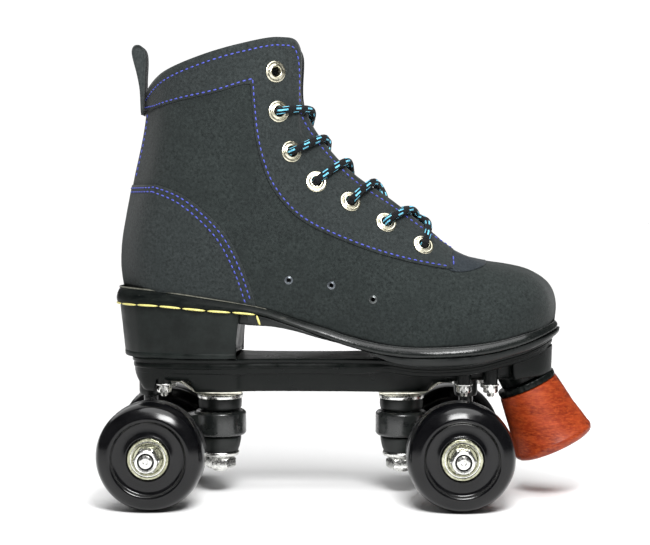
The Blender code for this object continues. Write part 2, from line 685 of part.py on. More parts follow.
def build_truck(name, truck):
    ring_x = truck["kingpin_x"]
    axle_x = truck["axle_x"]
    out = truck["outward"]
    label = f"truck_{name}"
    build_hanger(label, truck)
    axle = rod(f"{label}_axle", AXLE_R, -AXLE_HALF, AXLE_HALF, "zinc", chamfer=0.8)
    place(along_y(axle), axle_x, 0, AXLE_Z)
    kingpin_profile = [(0, KINGPIN_TOP), (7.6, KINGPIN_TOP), (7.6, 66.3), (KINGPIN_R, 66.3),
                       (KINGPIN_R, KINGPIN_BOTTOM + 0.8), (KINGPIN_R - 0.8, KINGPIN_BOTTOM),
                       (0, KINGPIN_BOTTOM)]
    place(lathe(f"{label}_kingpin", kingpin_profile, "zinc"), ring_x, 0, 0)
    hole = KINGPIN_R + 0.4
    base_plan = [(ring_x - out * 13, -13), (ring_x + out * 21, -13), (ring_x + out * 21, 13),
                 (ring_x - out * 13, 13)]
    base = prism(f"{label}_base", base_plan, 1.0, "zinc")
    place(base, 0, 0, 58.7)
    boolean(base, place(rod(f"{label}_base_hole", hole, 50, 70), ring_x, 0, 0), 'DIFFERENCE')
    place(collar(f"{label}_washer_top", 12.4, hole, 55.7, 57.4, "zinc", 20), ring_x, 0, 0)
    cushion_top = [(11.6, 55.4), (12.2, 51.5), (11.6, RING_TOP + GAP), (hole, RING_TOP + GAP),
                   (hole, 55.4)]
    place(lathe(f"{label}_cushion_top", cushion_top, "cushion", 20, ring=True), ring_x, 0, 0)
    cushion_low = [(11.8, RING_BOTTOM - GAP), (9.6, 23.6), (hole, 23.6), (hole, RING_BOTTOM - GAP)]
    place(lathe(f"{label}_cushion_bottom", cushion_low, "cushion", 20, ring=True), ring_x, 0, 0)
    place(collar(f"{label}_washer_bottom", 10.4, hole, 21.2, 23.3, "zinc", 20), ring_x, 0, 0)
    nut = [(8.6, 20.9), (8.6, 14.6), (KINGPIN_R + 1.0, 14.6), (KINGPIN_R + 1.0, 20.9)]
    place(lathe(f"{label}_kingpin_nut", nut, "zinc", 6, ring=True), ring_x, 0, 0)
    cup = [(7.0, 66.0), (7.0, 54.6), (4.7, 54.6), (4.7, 62.6), (0, 62.6)]
    cup_profile = [(0, 66.0)] + cup
    pivot_x = axle_x + out * PIVOT_REACH
    place(lathe(f"{label}_pivot_cup", cup_profile, "cushion", 16), pivot_x, 0, 0)
    for side, side_name in ((-1, "right"), (1, "left")):
        build_wheel(f"{name}_{side_name}", axle_x, side)


def build_wheel(label, x, side):
    """A wheel with its two bearings and axle nut; profiles run from the outer face inward."""
    seat = BEARING_R + 0.35
    face = [(seat, WHEEL_HALF_W), (17.5, WHEEL_HALF_W), (19.3, 14.2), (23.6, 14.8), (27.4, 12.6), (WHEEL_R, 8.2)]
    back = [(r, -z) for r, z in reversed(face)]
    bore = [(seat, -7.2), (9.0, -7.2), (9.0, 7.2), (seat, 7.2)]
    wheel = lathe(f"wheel_{label}", face + back + bore, "wheel", WHEEL_STEPS, ring=True)
    place(along_y(wheel), x, side * WHEEL_Y, AXLE_Z)
    for name, offset in (("outer", BEARING_OFFSET), ("inner", -BEARING_OFFSET)):
        half = BEARING_W / 2
        bearing = collar(f"bearing_{label}_{name}", BEARING_R, BORE_R, -half, half, "steel", 12)
        place(along_y(bearing), x, side * (WHEEL_Y + offset), AXLE_Z)
    nut = [(NUT_ACROSS_R, NUT_H - 2.6), (NUT_ACROSS_R, 0.0), (4.8, 0.0), (4.8, NUT_H), (6.4, NUT_H)]
    nut_y = side * (WHEEL_Y + BEARING_OFFSET + BEARING_W / 2 + GAP)
    obj = lathe(f"axle_nut_{label}", nut, "zinc", 6, ring=True)
    place(obj, x, nut_y, AXLE_Z)
    obj.rotation_euler = (-side * math.pi / 2, 0.0, 0.0)


def build_skate():
    outsole = build_sole()
    heel = build_heel()
    right, left = build_upper()
    build_tongue()
    build_pull_tab()
    route = build_lace(right, left)
    build_cord("boot_lace", route, LACE_R, "lace")
    build_aglet("lace_aglet_right", route)
    build_aglet("lace_aglet_left", list(reversed(route)))
    build_plate()
    build_bolts(heel, outsole)
    build_toe_stop()
    for name, truck in TRUCKS.items():
        build_truck(name, truck)


clear_scene()
PARTS = make_collection(OBJECT_NAME)
CUTTERS = make_collection("cutters")
build_skate()
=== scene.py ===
"""Looks of the quad roller skate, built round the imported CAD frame.

Frame: +X to the toe, +Y to the skater's left, +Z up, the ground at z = 0.
Tables are in millimetres; every mesh is made in metres.
"""
import math

import bmesh
import bpy
from mathutils import Matrix, Vector, noise
from mathutils.bvhtree import BVHTree


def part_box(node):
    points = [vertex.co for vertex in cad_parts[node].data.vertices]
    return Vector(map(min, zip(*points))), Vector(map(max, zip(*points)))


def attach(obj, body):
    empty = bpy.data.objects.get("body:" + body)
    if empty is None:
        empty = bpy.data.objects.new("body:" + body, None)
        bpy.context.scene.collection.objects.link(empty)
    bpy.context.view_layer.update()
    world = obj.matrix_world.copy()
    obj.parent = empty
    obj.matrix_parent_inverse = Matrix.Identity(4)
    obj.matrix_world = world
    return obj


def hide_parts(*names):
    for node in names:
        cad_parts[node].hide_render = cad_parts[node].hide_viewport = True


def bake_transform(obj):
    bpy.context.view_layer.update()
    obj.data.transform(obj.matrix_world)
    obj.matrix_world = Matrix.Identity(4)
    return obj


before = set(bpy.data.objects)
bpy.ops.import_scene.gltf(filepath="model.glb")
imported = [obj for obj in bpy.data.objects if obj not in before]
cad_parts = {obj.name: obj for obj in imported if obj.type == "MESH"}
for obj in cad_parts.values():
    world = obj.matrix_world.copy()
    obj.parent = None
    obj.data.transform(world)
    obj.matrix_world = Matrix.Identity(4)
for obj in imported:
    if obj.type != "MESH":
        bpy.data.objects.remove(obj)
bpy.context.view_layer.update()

MM = 0.001
GAP = 0.3

# ---- sizes shared with the CAD
WHEEL_R = 29.0
WHEEL_Y = 43.5
BEARING_R = 11.0
BEARING_HALF_W = 3.5
BEARING_OFFSET = 11.0
AXLE_R = 3.7
AXLE_HALF = 67.0
NUT_R = 7.2
NUT_H = 8.0
AXLE_Z = WHEEL_R
# Each truck: axle x, kingpin x, and the way from the kingpin to the axle
TRUCKS = {"rear": (-106.0, -73.0, -1.0), "front": (59.0, 29.0, 1.0)}
PIVOT_REACH = 6.0
PIVOT_Z = 57.5
PIVOT_POCKET_R = 7.3
PIVOT_POCKET_TOP = 66.3
RING_TOP = 47.3
RING_BOTTOM = 33.6
RING_R = 14.6
RING_HOLE_R = 6.6
KINGPIN_R = 4.6
HOUSING_R = 8.6
HOUSING_HALF = 26.0
HOUSING_NECK = 28.7
PLATE_TOP = 78.4
PLATE_UNDERSIDE = 60.0
BOLTS = {"heel": -102.0, "ball": 62.5, "toe": 77.0}
BOLT_Y = 20.0
BOLT_TIP_DROP = 1.4
STOP_TOP = (99.9, 61.1)
STOP_LEAN = math.radians(25.0)
STOP_H = 36.3
STOP_TOP_R = 17.1
STOP_BOTTOM_R = 23.0
STEM_R = 7.4
NOTCHES = 24
NOTCH_DEPTH = 0.028

# Sole lines in side view, (x, z)
WELT_TOP = [(-135, 117.8), (-114, 117.0), (-95, 115), (-62, 109.8), (-44, 106), (-27, 99.8), (-14, 96),
            (2, 91), (20, 87.4), (41, 86.4), (70, 88.4), (93, 93), (125, 102)]
SOLE_BOTTOM = [(-135, 103.9), (-60.5, 97.9), (-42, 96.6), (-29, 93.9), (-16, 90.1), (3.4, 85.2),
               (19, 79), (32.6, 76.3), (50.4, 75.9), (68.3, 77.4), (86, 81.6), (99.5, 85.4), (125, 96)]
SEAM = [(-135, 108.2), (-125, 108), (-104, 107.6), (-76, 105.3), (-51, 103.2), (-36, 98.5),
        (-14, 90.6), (2, 85.4), (20, 81.6), (41, 80.5), (70, 82.4), (93, 87.2), (125, 97.4)]

# Boot outline at the welt: (x, right half width, how much wider the left side is)
FOOT_PLAN = [(-126.5, 0, 0), (-124.5, 8, 0), (-119, 16, 0.2), (-111, 22.5, 0.5), (-90, 29.8, 1),
             (-60, 30, 2), (-32, 27.5, 5.5), (-14, 27.6, 8.5), (0, 29, 10), (20, 34, 8.7),
             (42, 38.7, 5), (66, 39.5, 2), (90, 33.5, -1.5), (100, 27.5, -2.5), (107, 20.5, -3),
             (112.4, 11, -2.5), (114.6, 0, 0)]

# Upper ribs: (base x, base half width, lateral extra, lower handle, upper handle, top)
UPPER_RIBS = [
    (-126.5, 0.0, 0.0, (-134, 0, 145), (-112, 0, 195), (-114, 0, 225.5)),
    (-112.0, 22.0, 0.5, (-118, 28, 145), (-99, 19, 195), (-101, 23.5, 234.6)),
    (-90.0, 29.8, 1.0, (-93, 35.5, 142), (-84, 27, 200), (-82, 34, 241.8)),
    (-60.0, 30.0, 2.0, (-60, 36.5, 140), (-63, 33, 200), (-60, 35.5, 248.2)),
    (-32.0, 27.5, 5.5, (-33, 37, 132), (-47, 31.5, 205), (-38.5, 26.5, 252.9)),
    (-14.0, 27.6, 8.5, (-14, 38, 125), (-38, 28, 190), (-27.3, 18.0, 248)),
    (0.0, 29.0, 10.0, (1, 39, 117), (-27, 31, 180), (-25.6, 14.5, 216)),
    (20.0, 34.0, 8.7, (22, 42.5, 108), (1, 31, 165), (-6, 13.5, 186)),
    (42.0, 38.7, 5.0, (44, 46, 103), (25, 30, 149), (21.5, 13.5, 165.6)),
    (66.0, 39.5, 2.0, (69, 46, 107), (55, 29, 133), (43.5, 12.8, 148.4)),
    (90.0, 33.5, -1.5, (95, 40, 115), (80, 27, 130), (55, 9.0, 137.3)),
    (107.0, 20.5, -3.0, (112, 25, 120), (96, 16, 130.4), (58, 4.5, 133.8)),
    (114.6, 0.0, 0.0, (119, 0, 122), (104, 0, 130.4), (58.6, 0, 133.4)),
]
RAND_BULGE = 1.7
RIB_SPLIT = 10
RIB_ROWS = 56
UPPER_T = 2.4
PANEL_T = 0.6
RAND_THREAD_END = -50.8
# The welt's lip rows behind this x, in the rows given next, get a pale colour: a painted highlight along the
# rand's rolled top edge.
RAND_HIGHLIGHT_END = -46.0
RAND_HIGHLIGHT_ROWS = (11, 12)

EYELETS = [(-40.3, 234), (-38.7, 212.6), (-31.8, 191.1), (-18.3, 174.9), (0.1, 164.1),
           (19.5, 152.8), (39.6, 140.6)]
EYELET_HOLE_R = 3.2
VENTS = [(-33, 121.9), (-10, 119.2), (12.4, 111.8)]
VENT_R = 1.5
TONGUE_LINE = [(63, 133), (55, 137.5), (43.5, 148.4), (21.5, 165.6), (-6, 186), (-19, 202),
               (-25.3, 217), (-26.4, 233), (-27, 249)]
TONGUE_HALF_W = 20.0
TONGUE_DROP = 8.0
TONGUE_SAG = 11.5
TONGUE_T = 3.2
LACE_R = 2.0
LACE_OVER = 3.6
LACE_UNDER = 2.8
EDGE_W = 14.5
EDGE_OVER = 2.9
EDGE_UNDER = 6.8
CROSS_OVER = 0.7
CROSS_UNDER = 3.4
LACE_TAIL = [(18.5, 1.5, 42), (15.5, 1.5, 30), (11.0, 2.5, 16), (5.5, 3.5, 6)]
AGLET_L = 18.0
BRAID_STRANDS = 8.0
BRAID_WAVES_PER_M = 450.0
BRAID_RELIEF = 0.07
FLECK_COLUMNS = 6.0
FLECK_PITCH_M = 0.0095

CAMERA_PLACE = (0.0008, -0.8064, 0.1609)
CAMERA_LENS = 79.73
CAMERA_TILT = 2.57
CAMERA_PAN = 1.05
FLOOR_REACH = 15000.0
FLOOR_SIDES = 48

# Panel edges and stitch rows in side view, (x, z)
BAND_LINE = [(-135, 212.5), (-106.5, 217.1), (-90.9, 220.3), (-72.1, 224), (-53.4, 229.6),
             (-52.0, 228.2), (-51.3, 218.6), (-49.7, 202.6), (-47, 189.3), (-41.7, 174.8),
             (-32.1, 162), (-21.3, 153.4), (-5.2, 145.9), (13.5, 138.9), (32.3, 133.6),
             (48.4, 130.4), (53, 129.6)]
EYESTAY_END = [(55.6, 128.4), (54.6, 131.5), (55.2, 135), (57.2, 139), (62, 146), (70, 160)]
VAMP_LINE = [(51.5, 129.2), (54, 127.3), (57, 126.6), (62, 126.6), (67, 127.6), (72, 129.2), (76, 132)]
COUNTER_LINE = [(-121, 172.4), (-111.9, 172.2), (-104.9, 171.7), (-91.4, 166.3), (-78, 156.1),
                (-67.2, 143.7), (-59.2, 127.5), (-53.8, 111.0)]
TOP_ROW_INSET = 4.4
STITCH_PITCH = 3.3
STITCH_L = 2.1
STITCH_R = 0.38
WELT_STITCH_PITCH = 13.6
WELT_STITCH_L = 12.6
WELT_STITCH_R = 0.58


# ---- materials
class Paint:
    """A procedural material built up on the surface's own coordinates."""

    def __init__(self, name, colour, roughness, **sockets):
        self.material = bpy.data.materials.new(name)
        self.material.use_nodes = True
        self.tree = self.material.node_tree
        self.shader = self.tree.nodes["Principled BSDF"]
        self.coords = self.tree.nodes.new("ShaderNodeTexCoord")
        self.normal = None
        self.shade(Base_Color=(*colour, 1.0), Roughness=roughness, **sockets)

    def feed(self, socket, value):
        if hasattr(value, "links"):
            self.tree.links.new(value, socket)
        else:
            socket.default_value = value

    def add(self, kind, inputs, output=0, **settings):
        """One output of a new node whose inputs are linked or set."""
        node = self.tree.nodes.new("ShaderNode" + kind)
        for key, value in settings.items():
            setattr(node, key, value)
        for key, value in inputs.items():
            self.feed(node.inputs[key], value)
        return node.outputs[output]

    def shade(self, **sockets):
        for key, value in sockets.items():
            self.feed(self.shader.inputs[key.replace("_", " ")], value)

    def noise(self, size_mm, detail=3.0, rough=0.5, stretch=(1, 1, 1)):
        """Noise with features about size_mm across, as a value near 0.5."""
        place = self.add("Mapping", {"Scale": stretch, "Vector": self.coords.outputs["Object"]})
        return self.add("TexNoise", {"Scale": 1.0 / (size_mm * MM), "Detail": detail,
                                     "Roughness": rough, "Vector": place})

    def span(self, source, low, high, out_low=0.0, out_high=1.0):
        """A value stretched from low..high to out_low..out_high."""
        return self.add("MapRange", {"Value": source, "From Min": low, "From Max": high,
                                     "To Min": out_low, "To Max": out_high})

    def math(self, operation, a, b=0.0):
        return self.add("Math", {0: a, 1: b}, operation=operation)

    def mix(self, factor, a, b):
        a, b = (end if hasattr(end, "links") else (*end, 1.0) for end in (a, b))
        return self.add("Mix", {0: factor, 6: a, 7: b}, 2, data_type='RGBA')

    def bump(self, height, depth_mm, strength=1.0):
        inputs = {"Strength": strength, "Distance": depth_mm * MM, "Height": height}
        if self.normal is not None:
            inputs["Normal"] = self.normal
        self.normal = self.add("Bump", inputs)
        self.shade(Normal=self.normal)


def suede(name, dark, light, nap=(0.012, 0.015, 0.0147)):
    """Brushed leather: fine grain, soft nap marks and a faint sheen."""
    paint = Paint(name, light, 0.95, Sheen_Weight=0.08, Sheen_Roughness=0.5,
                  Specular_IOR_Level=0.1)
    grain = paint.noise(1.5, 4.0, 0.75)
    marks = paint.noise(16.0, 3.0, 0.55)
    speck = paint.noise(0.35, 2.0, 0.6)
    tone = paint.mix(paint.span(grain, 0.3, 0.7), dark, light)
    tone = paint.mix(paint.span(marks, 0.42, 0.72, 0.0, 0.55), tone, nap)
    paint.shade(Base_Color=tone)
    paint.bump(grain, 0.22, 0.8)
    paint.bump(speck, 0.10, 0.8)
    return paint.material


def lining_cloth():
    paint = Paint("lining_cloth", (0.03, 0.03, 0.033), 0.9, Sheen_Weight=0.15)
    weave = paint.noise(0.5, 2.0, 0.5, (1.0, 1.0, 0.35))
    cross = paint.noise(0.5, 2.0, 0.5, (0.35, 0.35, 1.0))
    both = paint.math('MAXIMUM', weave, cross)
    tone = paint.span(both, 0.45, 0.7)
    paint.shade(Base_Color=paint.mix(tone, (0.016, 0.016, 0.018), (0.05, 0.05, 0.055)))
    paint.bump(both, 0.15, 0.8)
    return paint.material


def thread(name, dark, light, roughness=0.6):
    paint = Paint(name, light, roughness, Sheen_Weight=0.1)
    twist = paint.noise(0.28, 1.0, 0.5)
    paint.shade(Base_Color=paint.mix(paint.span(twist, 0.35, 0.65), dark, light))
    paint.bump(twist, 0.08)
    return paint.material


def gloss_leather():
    """Polished black leather of the welt, with dull scuffs and pale nicks."""
    paint = Paint("welt_leather", (0.02, 0.02, 0.02), 0.3, Specular_IOR_Level=0.26)
    scuffs = paint.noise(6.0, 5.0, 0.7, (0.5, 0.5, 2.2))
    pores = paint.noise(0.8, 3.0, 0.6)
    nicks = paint.span(paint.noise(2.2, 4.0, 0.7, (0.4, 0.4, 1.5)), 0.63, 0.72)
    tone = paint.mix(paint.span(scuffs, 0.35, 0.7), (0.003, 0.004, 0.004), (0.011, 0.013, 0.012))
    paint.shade(Base_Color=paint.mix(paint.math('MULTIPLY', nicks, 0.5), tone, (0.08, 0.08, 0.07)))
    along = paint.add("SeparateXYZ", {"Vector": paint.coords.outputs["Object"]}, "X")
    polish = paint.span(along, -0.05, 0.0, 1.15, 0.62)
    paint.shade(Roughness=paint.math('MULTIPLY', paint.span(scuffs, 0.35, 0.7, 0.3, 0.5), polish))
    paint.shade(Specular_IOR_Level=paint.span(along, -0.06, 0.0, 0.04, 0.3))
    paint.bump(pores, 0.06, 0.7)
    paint.bump(scuffs, 0.25, 0.5)
    return paint.material


def moulded(name, dark, light, rough_low, rough_high, grain_mm=0.7, depth=0.05, **sockets):
    """Moulded plastic or rubber: cloudy tone, flow marks and a fine texture."""
    paint = Paint(name, light, rough_high, **sockets)
    cloud = paint.noise(9.0, 4.0, 0.6)
    grain = paint.noise(grain_mm, 2.0, 0.5)
    paint.shade(Base_Color=paint.mix(paint.span(cloud, 0.35, 0.68), dark, light))
    paint.shade(Roughness=paint.span(cloud, 0.35, 0.68, rough_low, rough_high))
    paint.bump(grain, depth, 0.7)
    return paint.material


def metal(name, dark, light, rough_low, rough_high, grain_mm=1.2):
    """Plated or machined steel, with fine handling marks."""
    paint = Paint(name, light, rough_high, Metallic=1.0)
    cloud = paint.noise(3.5, 4.0, 0.65)
    grain = paint.noise(grain_mm, 3.0, 0.6)
    paint.shade(Base_Color=paint.mix(paint.span(cloud, 0.35, 0.66), dark, light))
    paint.shade(Roughness=paint.span(grain, 0.35, 0.65, rough_low, rough_high))
    paint.bump(grain, 0.02, 0.5)
    return paint.material


def stop_rubber():
    """Orange-red rubber, mottled in bands across its height."""
    paint = Paint("stop_rubber", (0.46, 0.075, 0.022), 0.42, Specular_IOR_Level=0.3)
    bands = paint.noise(7.0, 5.0, 0.65, (0.45, 0.45, 1.7))
    fine = paint.noise(1.3, 3.0, 0.65, (0.5, 0.5, 1.6))
    tone = paint.mix(paint.span(bands, 0.32, 0.68), (0.11, 0.009, 0.003), (0.30, 0.036, 0.006))
    paint.shade(Base_Color=paint.mix(paint.span(fine, 0.42, 0.75, 0.0, 0.7), tone, (0.40, 0.075, 0.016)))
    paint.shade(Roughness=paint.span(bands, 0.3, 0.7, 0.3, 0.5))
    paint.bump(fine, 0.07, 0.6)
    return paint.material


def lace_braid():
    """Round black braid with woven light-blue tracer threads, laid out on its UVs."""
    paint = Paint("lace_braid", (0.006, 0.007, 0.008), 0.75, Sheen_Weight=0.04, Specular_IOR_Level=0.12)
    around = paint.add("SeparateXYZ", {"Vector": paint.coords.outputs["UV"]}, "X")
    along = around.node.outputs["Y"]
    turns = paint.math('MULTIPLY', around, BRAID_STRANDS)
    rise = paint.math('MULTIPLY', along, BRAID_WAVES_PER_M)
    left, right = (paint.math('SINE', paint.math('MULTIPLY', paint.math(way, turns, rise), math.tau))
                   for way in ('ADD', 'SUBTRACT'))
    braid = paint.math('MULTIPLY', left, right)
    columns = paint.math('MULTIPLY', around, FLECK_COLUMNS)
    column = paint.math('FLOOR', columns)
    across = paint.math('FRACT', columns)
    stripe = paint.math('LESS_THAN', paint.math('ABSOLUTE', paint.math('SUBTRACT', across, 0.5)), 0.21)
    step = paint.math('FRACT', paint.math('ADD', paint.math('MULTIPLY', along, 1.0 / FLECK_PITCH_M),
                                          paint.math('MULTIPLY', column, 1.0 / FLECK_COLUMNS)))
    dash = paint.math('MULTIPLY', stripe, paint.math('LESS_THAN', step, 0.42))
    base = paint.mix(paint.span(braid, -1.0, 1.0), (0.0015, 0.0015, 0.002), (0.007, 0.008, 0.0095))
    fleck = paint.mix(paint.span(paint.noise(0.6, 2.0), 0.4, 0.65), (0.06, 0.30, 0.46), (0.24, 0.62, 0.74))
    paint.shade(Base_Color=paint.mix(dash, base, fleck))
    paint.bump(braid, 0.16, 0.9)
    return paint.material


SUEDE = suede("upper_suede", (0.006, 0.008, 0.0078), (0.026, 0.032, 0.031))
PANEL_SUEDE = suede("panel_suede", (0.008, 0.010, 0.010), (0.031, 0.037, 0.037), (0.017, 0.021, 0.021))
PATCH_SUEDE = suede("patch_suede", (0.008, 0.011, 0.013), (0.031, 0.037, 0.043), (0.015, 0.019, 0.023))
TAB_SUEDE = suede("tab_suede", (0.018, 0.022, 0.022), (0.042, 0.047, 0.047), (0.028, 0.032, 0.032))
EDGE = suede("cut_edge", (0.005, 0.006, 0.006), (0.014, 0.016, 0.016), (0.008, 0.009, 0.009))
LINING = lining_cloth()
BLUE_THREAD = thread("blue_thread", (0.018, 0.028, 0.24), (0.06, 0.08, 0.46))
YELLOW_THREAD = thread("yellow_thread", (0.42, 0.36, 0.07), (0.82, 0.76, 0.28), 0.5)
WELT_LEATHER = gloss_leather()
# Pale suede for the rand's top lip: a painted highlight, not the welt's own colour.
RAND_HIGHLIGHT = suede("rand_painted_highlight", (0.03, 0.03, 0.024), (0.16, 0.16, 0.13), (0.07, 0.07, 0.055))
SOLE_RUBBER = moulded("sole_rubber", (0.004, 0.005, 0.005), (0.011, 0.0125, 0.012), 0.3, 0.5,
                    Specular_IOR_Level=0.25)
HEEL_RUBBER = moulded("heel_rubber", (0.002, 0.0035, 0.003), (0.009, 0.012, 0.011), 0.36, 0.55, 0.9, 0.08,
                     Specular_IOR_Level=0.18)
NYLON = moulded("black_nylon", (0.001, 0.002, 0.0017), (0.004, 0.005, 0.0045), 0.26, 0.42, 0.9, 0.07,
               Specular_IOR_Level=0.16)
WHEEL = moulded("gloss_urethane", (0.001, 0.001, 0.0015), (0.003, 0.003, 0.0035), 0.14, 0.22, 4.0, 0.02,
                Specular_IOR_Level=0.3)
TREAD = moulded("wheel_tread", (0.005, 0.005, 0.006), (0.014, 0.014, 0.014), 0.2, 0.4, 1.5, 0.04,
                Specular_IOR_Level=0.4)
CUSHION = moulded("cushion_rubber", (0.004, 0.005, 0.0045), (0.011, 0.013, 0.012), 0.32, 0.5,
                  Specular_IOR_Level=0.3)
CAST = moulded("black_cast", (0.006, 0.007, 0.007), (0.014, 0.016, 0.015), 0.2, 0.36, 1.1, 0.09,
               Coat_Weight=0.3, Coat_Roughness=0.15)
ZINC = metal("bright_zinc", (0.60, 0.60, 0.58), (0.80, 0.80, 0.77), 0.14, 0.34)
SHIELD = metal("bearing_shield", (0.22, 0.22, 0.15), (0.48, 0.48, 0.36), 0.14, 0.32)
EYELET_METAL = metal("eyelet_nickel", (0.42, 0.40, 0.29), (0.74, 0.71, 0.57), 0.18, 0.36)
GUN_METAL = metal("vent_ring_black", (0.05, 0.055, 0.055), (0.14, 0.15, 0.15), 0.3, 0.45)
# A lighter copy of the vent rings' dark metal, used on the first two rings: a painted highlight.
VENT_HIGHLIT_METAL = metal("vent_ring_painted_highlight", (0.07, 0.08, 0.09), (0.17, 0.185, 0.2), 0.34, 0.5)
STRAP = metal("base_steel", (0.62, 0.60, 0.50), (0.86, 0.84, 0.74), 0.26, 0.46)
STOP = stop_rubber()
LACE = lace_braid()
AGLET = moulded("aglet_tip", (0.02, 0.02, 0.022), (0.05, 0.05, 0.055), 0.12, 0.25, 2.0, 0.02,
                Coat_Weight=0.5, Coat_Roughness=0.1)


# ---- shape helpers
def make_object(name, verts, faces, *materials, smooth=True, sharp=None):
    """A mesh object from points in millimetres."""
    mesh = bpy.data.meshes.new(name)
    mesh.from_pydata([tuple(Vector(v) * MM) for v in verts], [], faces)
    for material in materials:
        mesh.materials.append(material)
    if smooth:
        mesh.shade_smooth()
    if sharp is not None:
        mesh.set_sharp_from_angle(angle=math.radians(sharp))
    obj = bpy.data.objects.new(name, mesh)
    bpy.context.scene.collection.objects.link(obj)
    return obj


def strips(rows, count, start=0):
    """Faces between rows of count points, each row a closed ring."""
    return [[start + j * count + i, start + j * count + (i + 1) % count,
             start + (j + 1) * count + (i + 1) % count, start + (j + 1) * count + i]
            for j in range(rows - 1) for i in range(count)]


def outward(obj):
    """Face normals pointing out of each closed shell."""
    work = bmesh.new()
    work.from_mesh(obj.data)
    bmesh.ops.recalc_face_normals(work, faces=work.faces)
    work.to_mesh(obj.data)
    work.free()
    return obj


def modify(obj, kind, **settings):
    """Add one modifier with these settings and apply it."""
    modifier = obj.modifiers.new(kind.title(), kind)
    for key, value in settings.items():
        setattr(modifier, key, value)
    bpy.context.view_layer.update()
    graph = bpy.context.evaluated_depsgraph_get()
    mesh = bpy.data.meshes.new_from_object(obj.evaluated_get(graph))
    obj.modifiers.clear()
    obj.data = mesh
    return obj


def boolean(target, other, operation):
    modify(target, 'BOOLEAN', operation=operation, object=other, solver='EXACT')
    bpy.data.objects.remove(other, do_unlink=True)
    return target


def join(name, objects):
    """One object from several, keeping each one's materials."""
    work = bmesh.new()
    materials = []
    for obj in objects:
        start = len(work.faces)
        work.from_mesh(obj.data)
        work.faces.ensure_lookup_table()
        slots = []
        for material in obj.data.materials:
            if material not in materials:
                materials.append(material)
            slots.append(materials.index(material))
        for face in work.faces[start:]:
            face.material_index = slots[face.material_index] if slots else 0
    mesh = bpy.data.meshes.new(name)
    work.to_mesh(mesh)
    work.free()
    for material in materials:
        mesh.materials.append(material)
    for obj in objects:
        bpy.data.objects.remove(obj, do_unlink=True)
    result = bpy.data.objects.new(name, mesh)
    bpy.context.scene.collection.objects.link(result)
    return result


def settle(obj, body, *nodes, slot=None):
    """Put a finished piece on its body, in place of its CAD nodes."""
    if body is not None:
        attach(obj, body)
    if nodes:
        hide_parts(*nodes)
    return obj


def smooth_curve(points, steps):
    """Points on a Catmull-Rom curve through the given vectors, steps to each span."""
    result = []
    last = len(points) - 1
    for i in range(last):
        a = points[max(i - 1, 0)]
        b = points[i]
        c = points[i + 1]
        d = points[min(i + 2, last)]
        for k in range(steps):
            t = k / steps
            result.append(0.5 * (2 * b + (c - a) * t + (2 * a - 5 * b + 4 * c - d) * t ** 2
                                 + (3 * b - a - 3 * c + d) * t ** 3))
    result.append(points[last].copy())
    return result


def interpolate(points, x):
    """Height of a polyline at x."""
    for (x0, z0), (x1, z1) in zip(points, points[1:]):
        if x <= x1:
            return z0 + (z1 - z0) * (x - x0) / (x1 - x0)
    return points[-1][1]


def smooth_line(points, steps=6):
    return [(p.x, p.y) for p in smooth_curve([Vector(p) for p in points], steps)]


def heading(line, i):
    """Direction of a line of vectors at its point i."""
    return (line[min(i + 1, len(line) - 1)] - line[max(i - 1, 0)]).normalized()


def resample(points, spacing):
    """Vectors spaced evenly along a polyline."""
    result = [points[0].copy()]
    carry = 0.0
    for a, b in zip(points, points[1:]):
        length = (b - a).length
        while length > 0 and carry + spacing <= length:
            carry += spacing
            result.append(a.lerp(b, carry / length))
        carry -= length
    return result


def rounded(profile, radius, segments=3, closed=True):
    """A profile with its corners turned into short curves."""
    points = [Vector(p[:2]) for p in profile]
    count = len(points)
    result = []
    for i, corner in enumerate(points):
        if not closed and i in (0, count - 1):
            result.append(tuple(corner))
            continue
        before = points[i - 1] - corner
        after = points[(i + 1) % count] - corner
        a = corner + before.normalized() * min(radius, before.length * 0.45)
        b = corner + after.normalized() * min(radius, after.length * 0.45)
        for k in range(segments + 1):
            t = k / segments
            result.append(tuple((1 - t) ** 2 * a + 2 * t * (1 - t) * corner + t * t * b))
    return result


def lathe(name, profile, material, spot, steps=64, closed=True, hexed=None, sharp=35):
    """Turn a profile of (radius, height) about Z at a spot, six-sided where hexed(radius) is true."""
    verts = []
    rows = []
    for radius, height in profile:
        if radius < 1e-6:
            verts.append(spot @ Vector((0, 0, height)))
            rows.append([len(verts) - 1] * steps)
            continue
        row = []
        for k in range(steps):
            angle = math.tau * k / steps
            r = radius
            if hexed is not None and hexed(radius):
                turn = (angle % (math.tau / 6)) - math.tau / 12
                r = radius * math.cos(math.tau / 12) / math.cos(turn)
            verts.append(spot @ Vector((r * math.cos(angle), r * math.sin(angle), height)))
            row.append(len(verts) - 1)
        rows.append(row)
    pairs = list(zip(rows, rows[1:]))
    if closed:
        pairs.append((rows[-1], rows[0]))
    faces = []
    for low, high in pairs:
        for k in range(steps):
            n = (k + 1) % steps
            face = []
            for vertex in (low[k], low[n], high[n], high[k]):
                if vertex not in face:
                    face.append(vertex)
            if len(face) > 2:
                faces.append(face)
    return outward(make_object(name, verts, faces, material, sharp=sharp))


def turn(name, profile, material, spot, steps, body, node, slot, **shape):
    """A lathed piece, settled in place of its CAD node as it stands."""
    return settle(lathe(name, profile, material, spot, steps, **shape), body, node, slot=slot)


def turned_y(x, y, z, side=1.0):
    """Placement of a shape made along Z so that its top faces outward along Y."""
    return Matrix.Translation((x, y, z)) @ Matrix.Rotation(-side * math.pi / 2, 4, 'X')


def upright(x, y=0.0):
    return Matrix.Translation((x, y, 0.0))


def facing(centre, normal):
    """Placement of a shape made along Z onto a surface point."""
    return Matrix.Translation(centre) @ normal.to_track_quat('Z', 'Y').to_matrix().to_4x4()


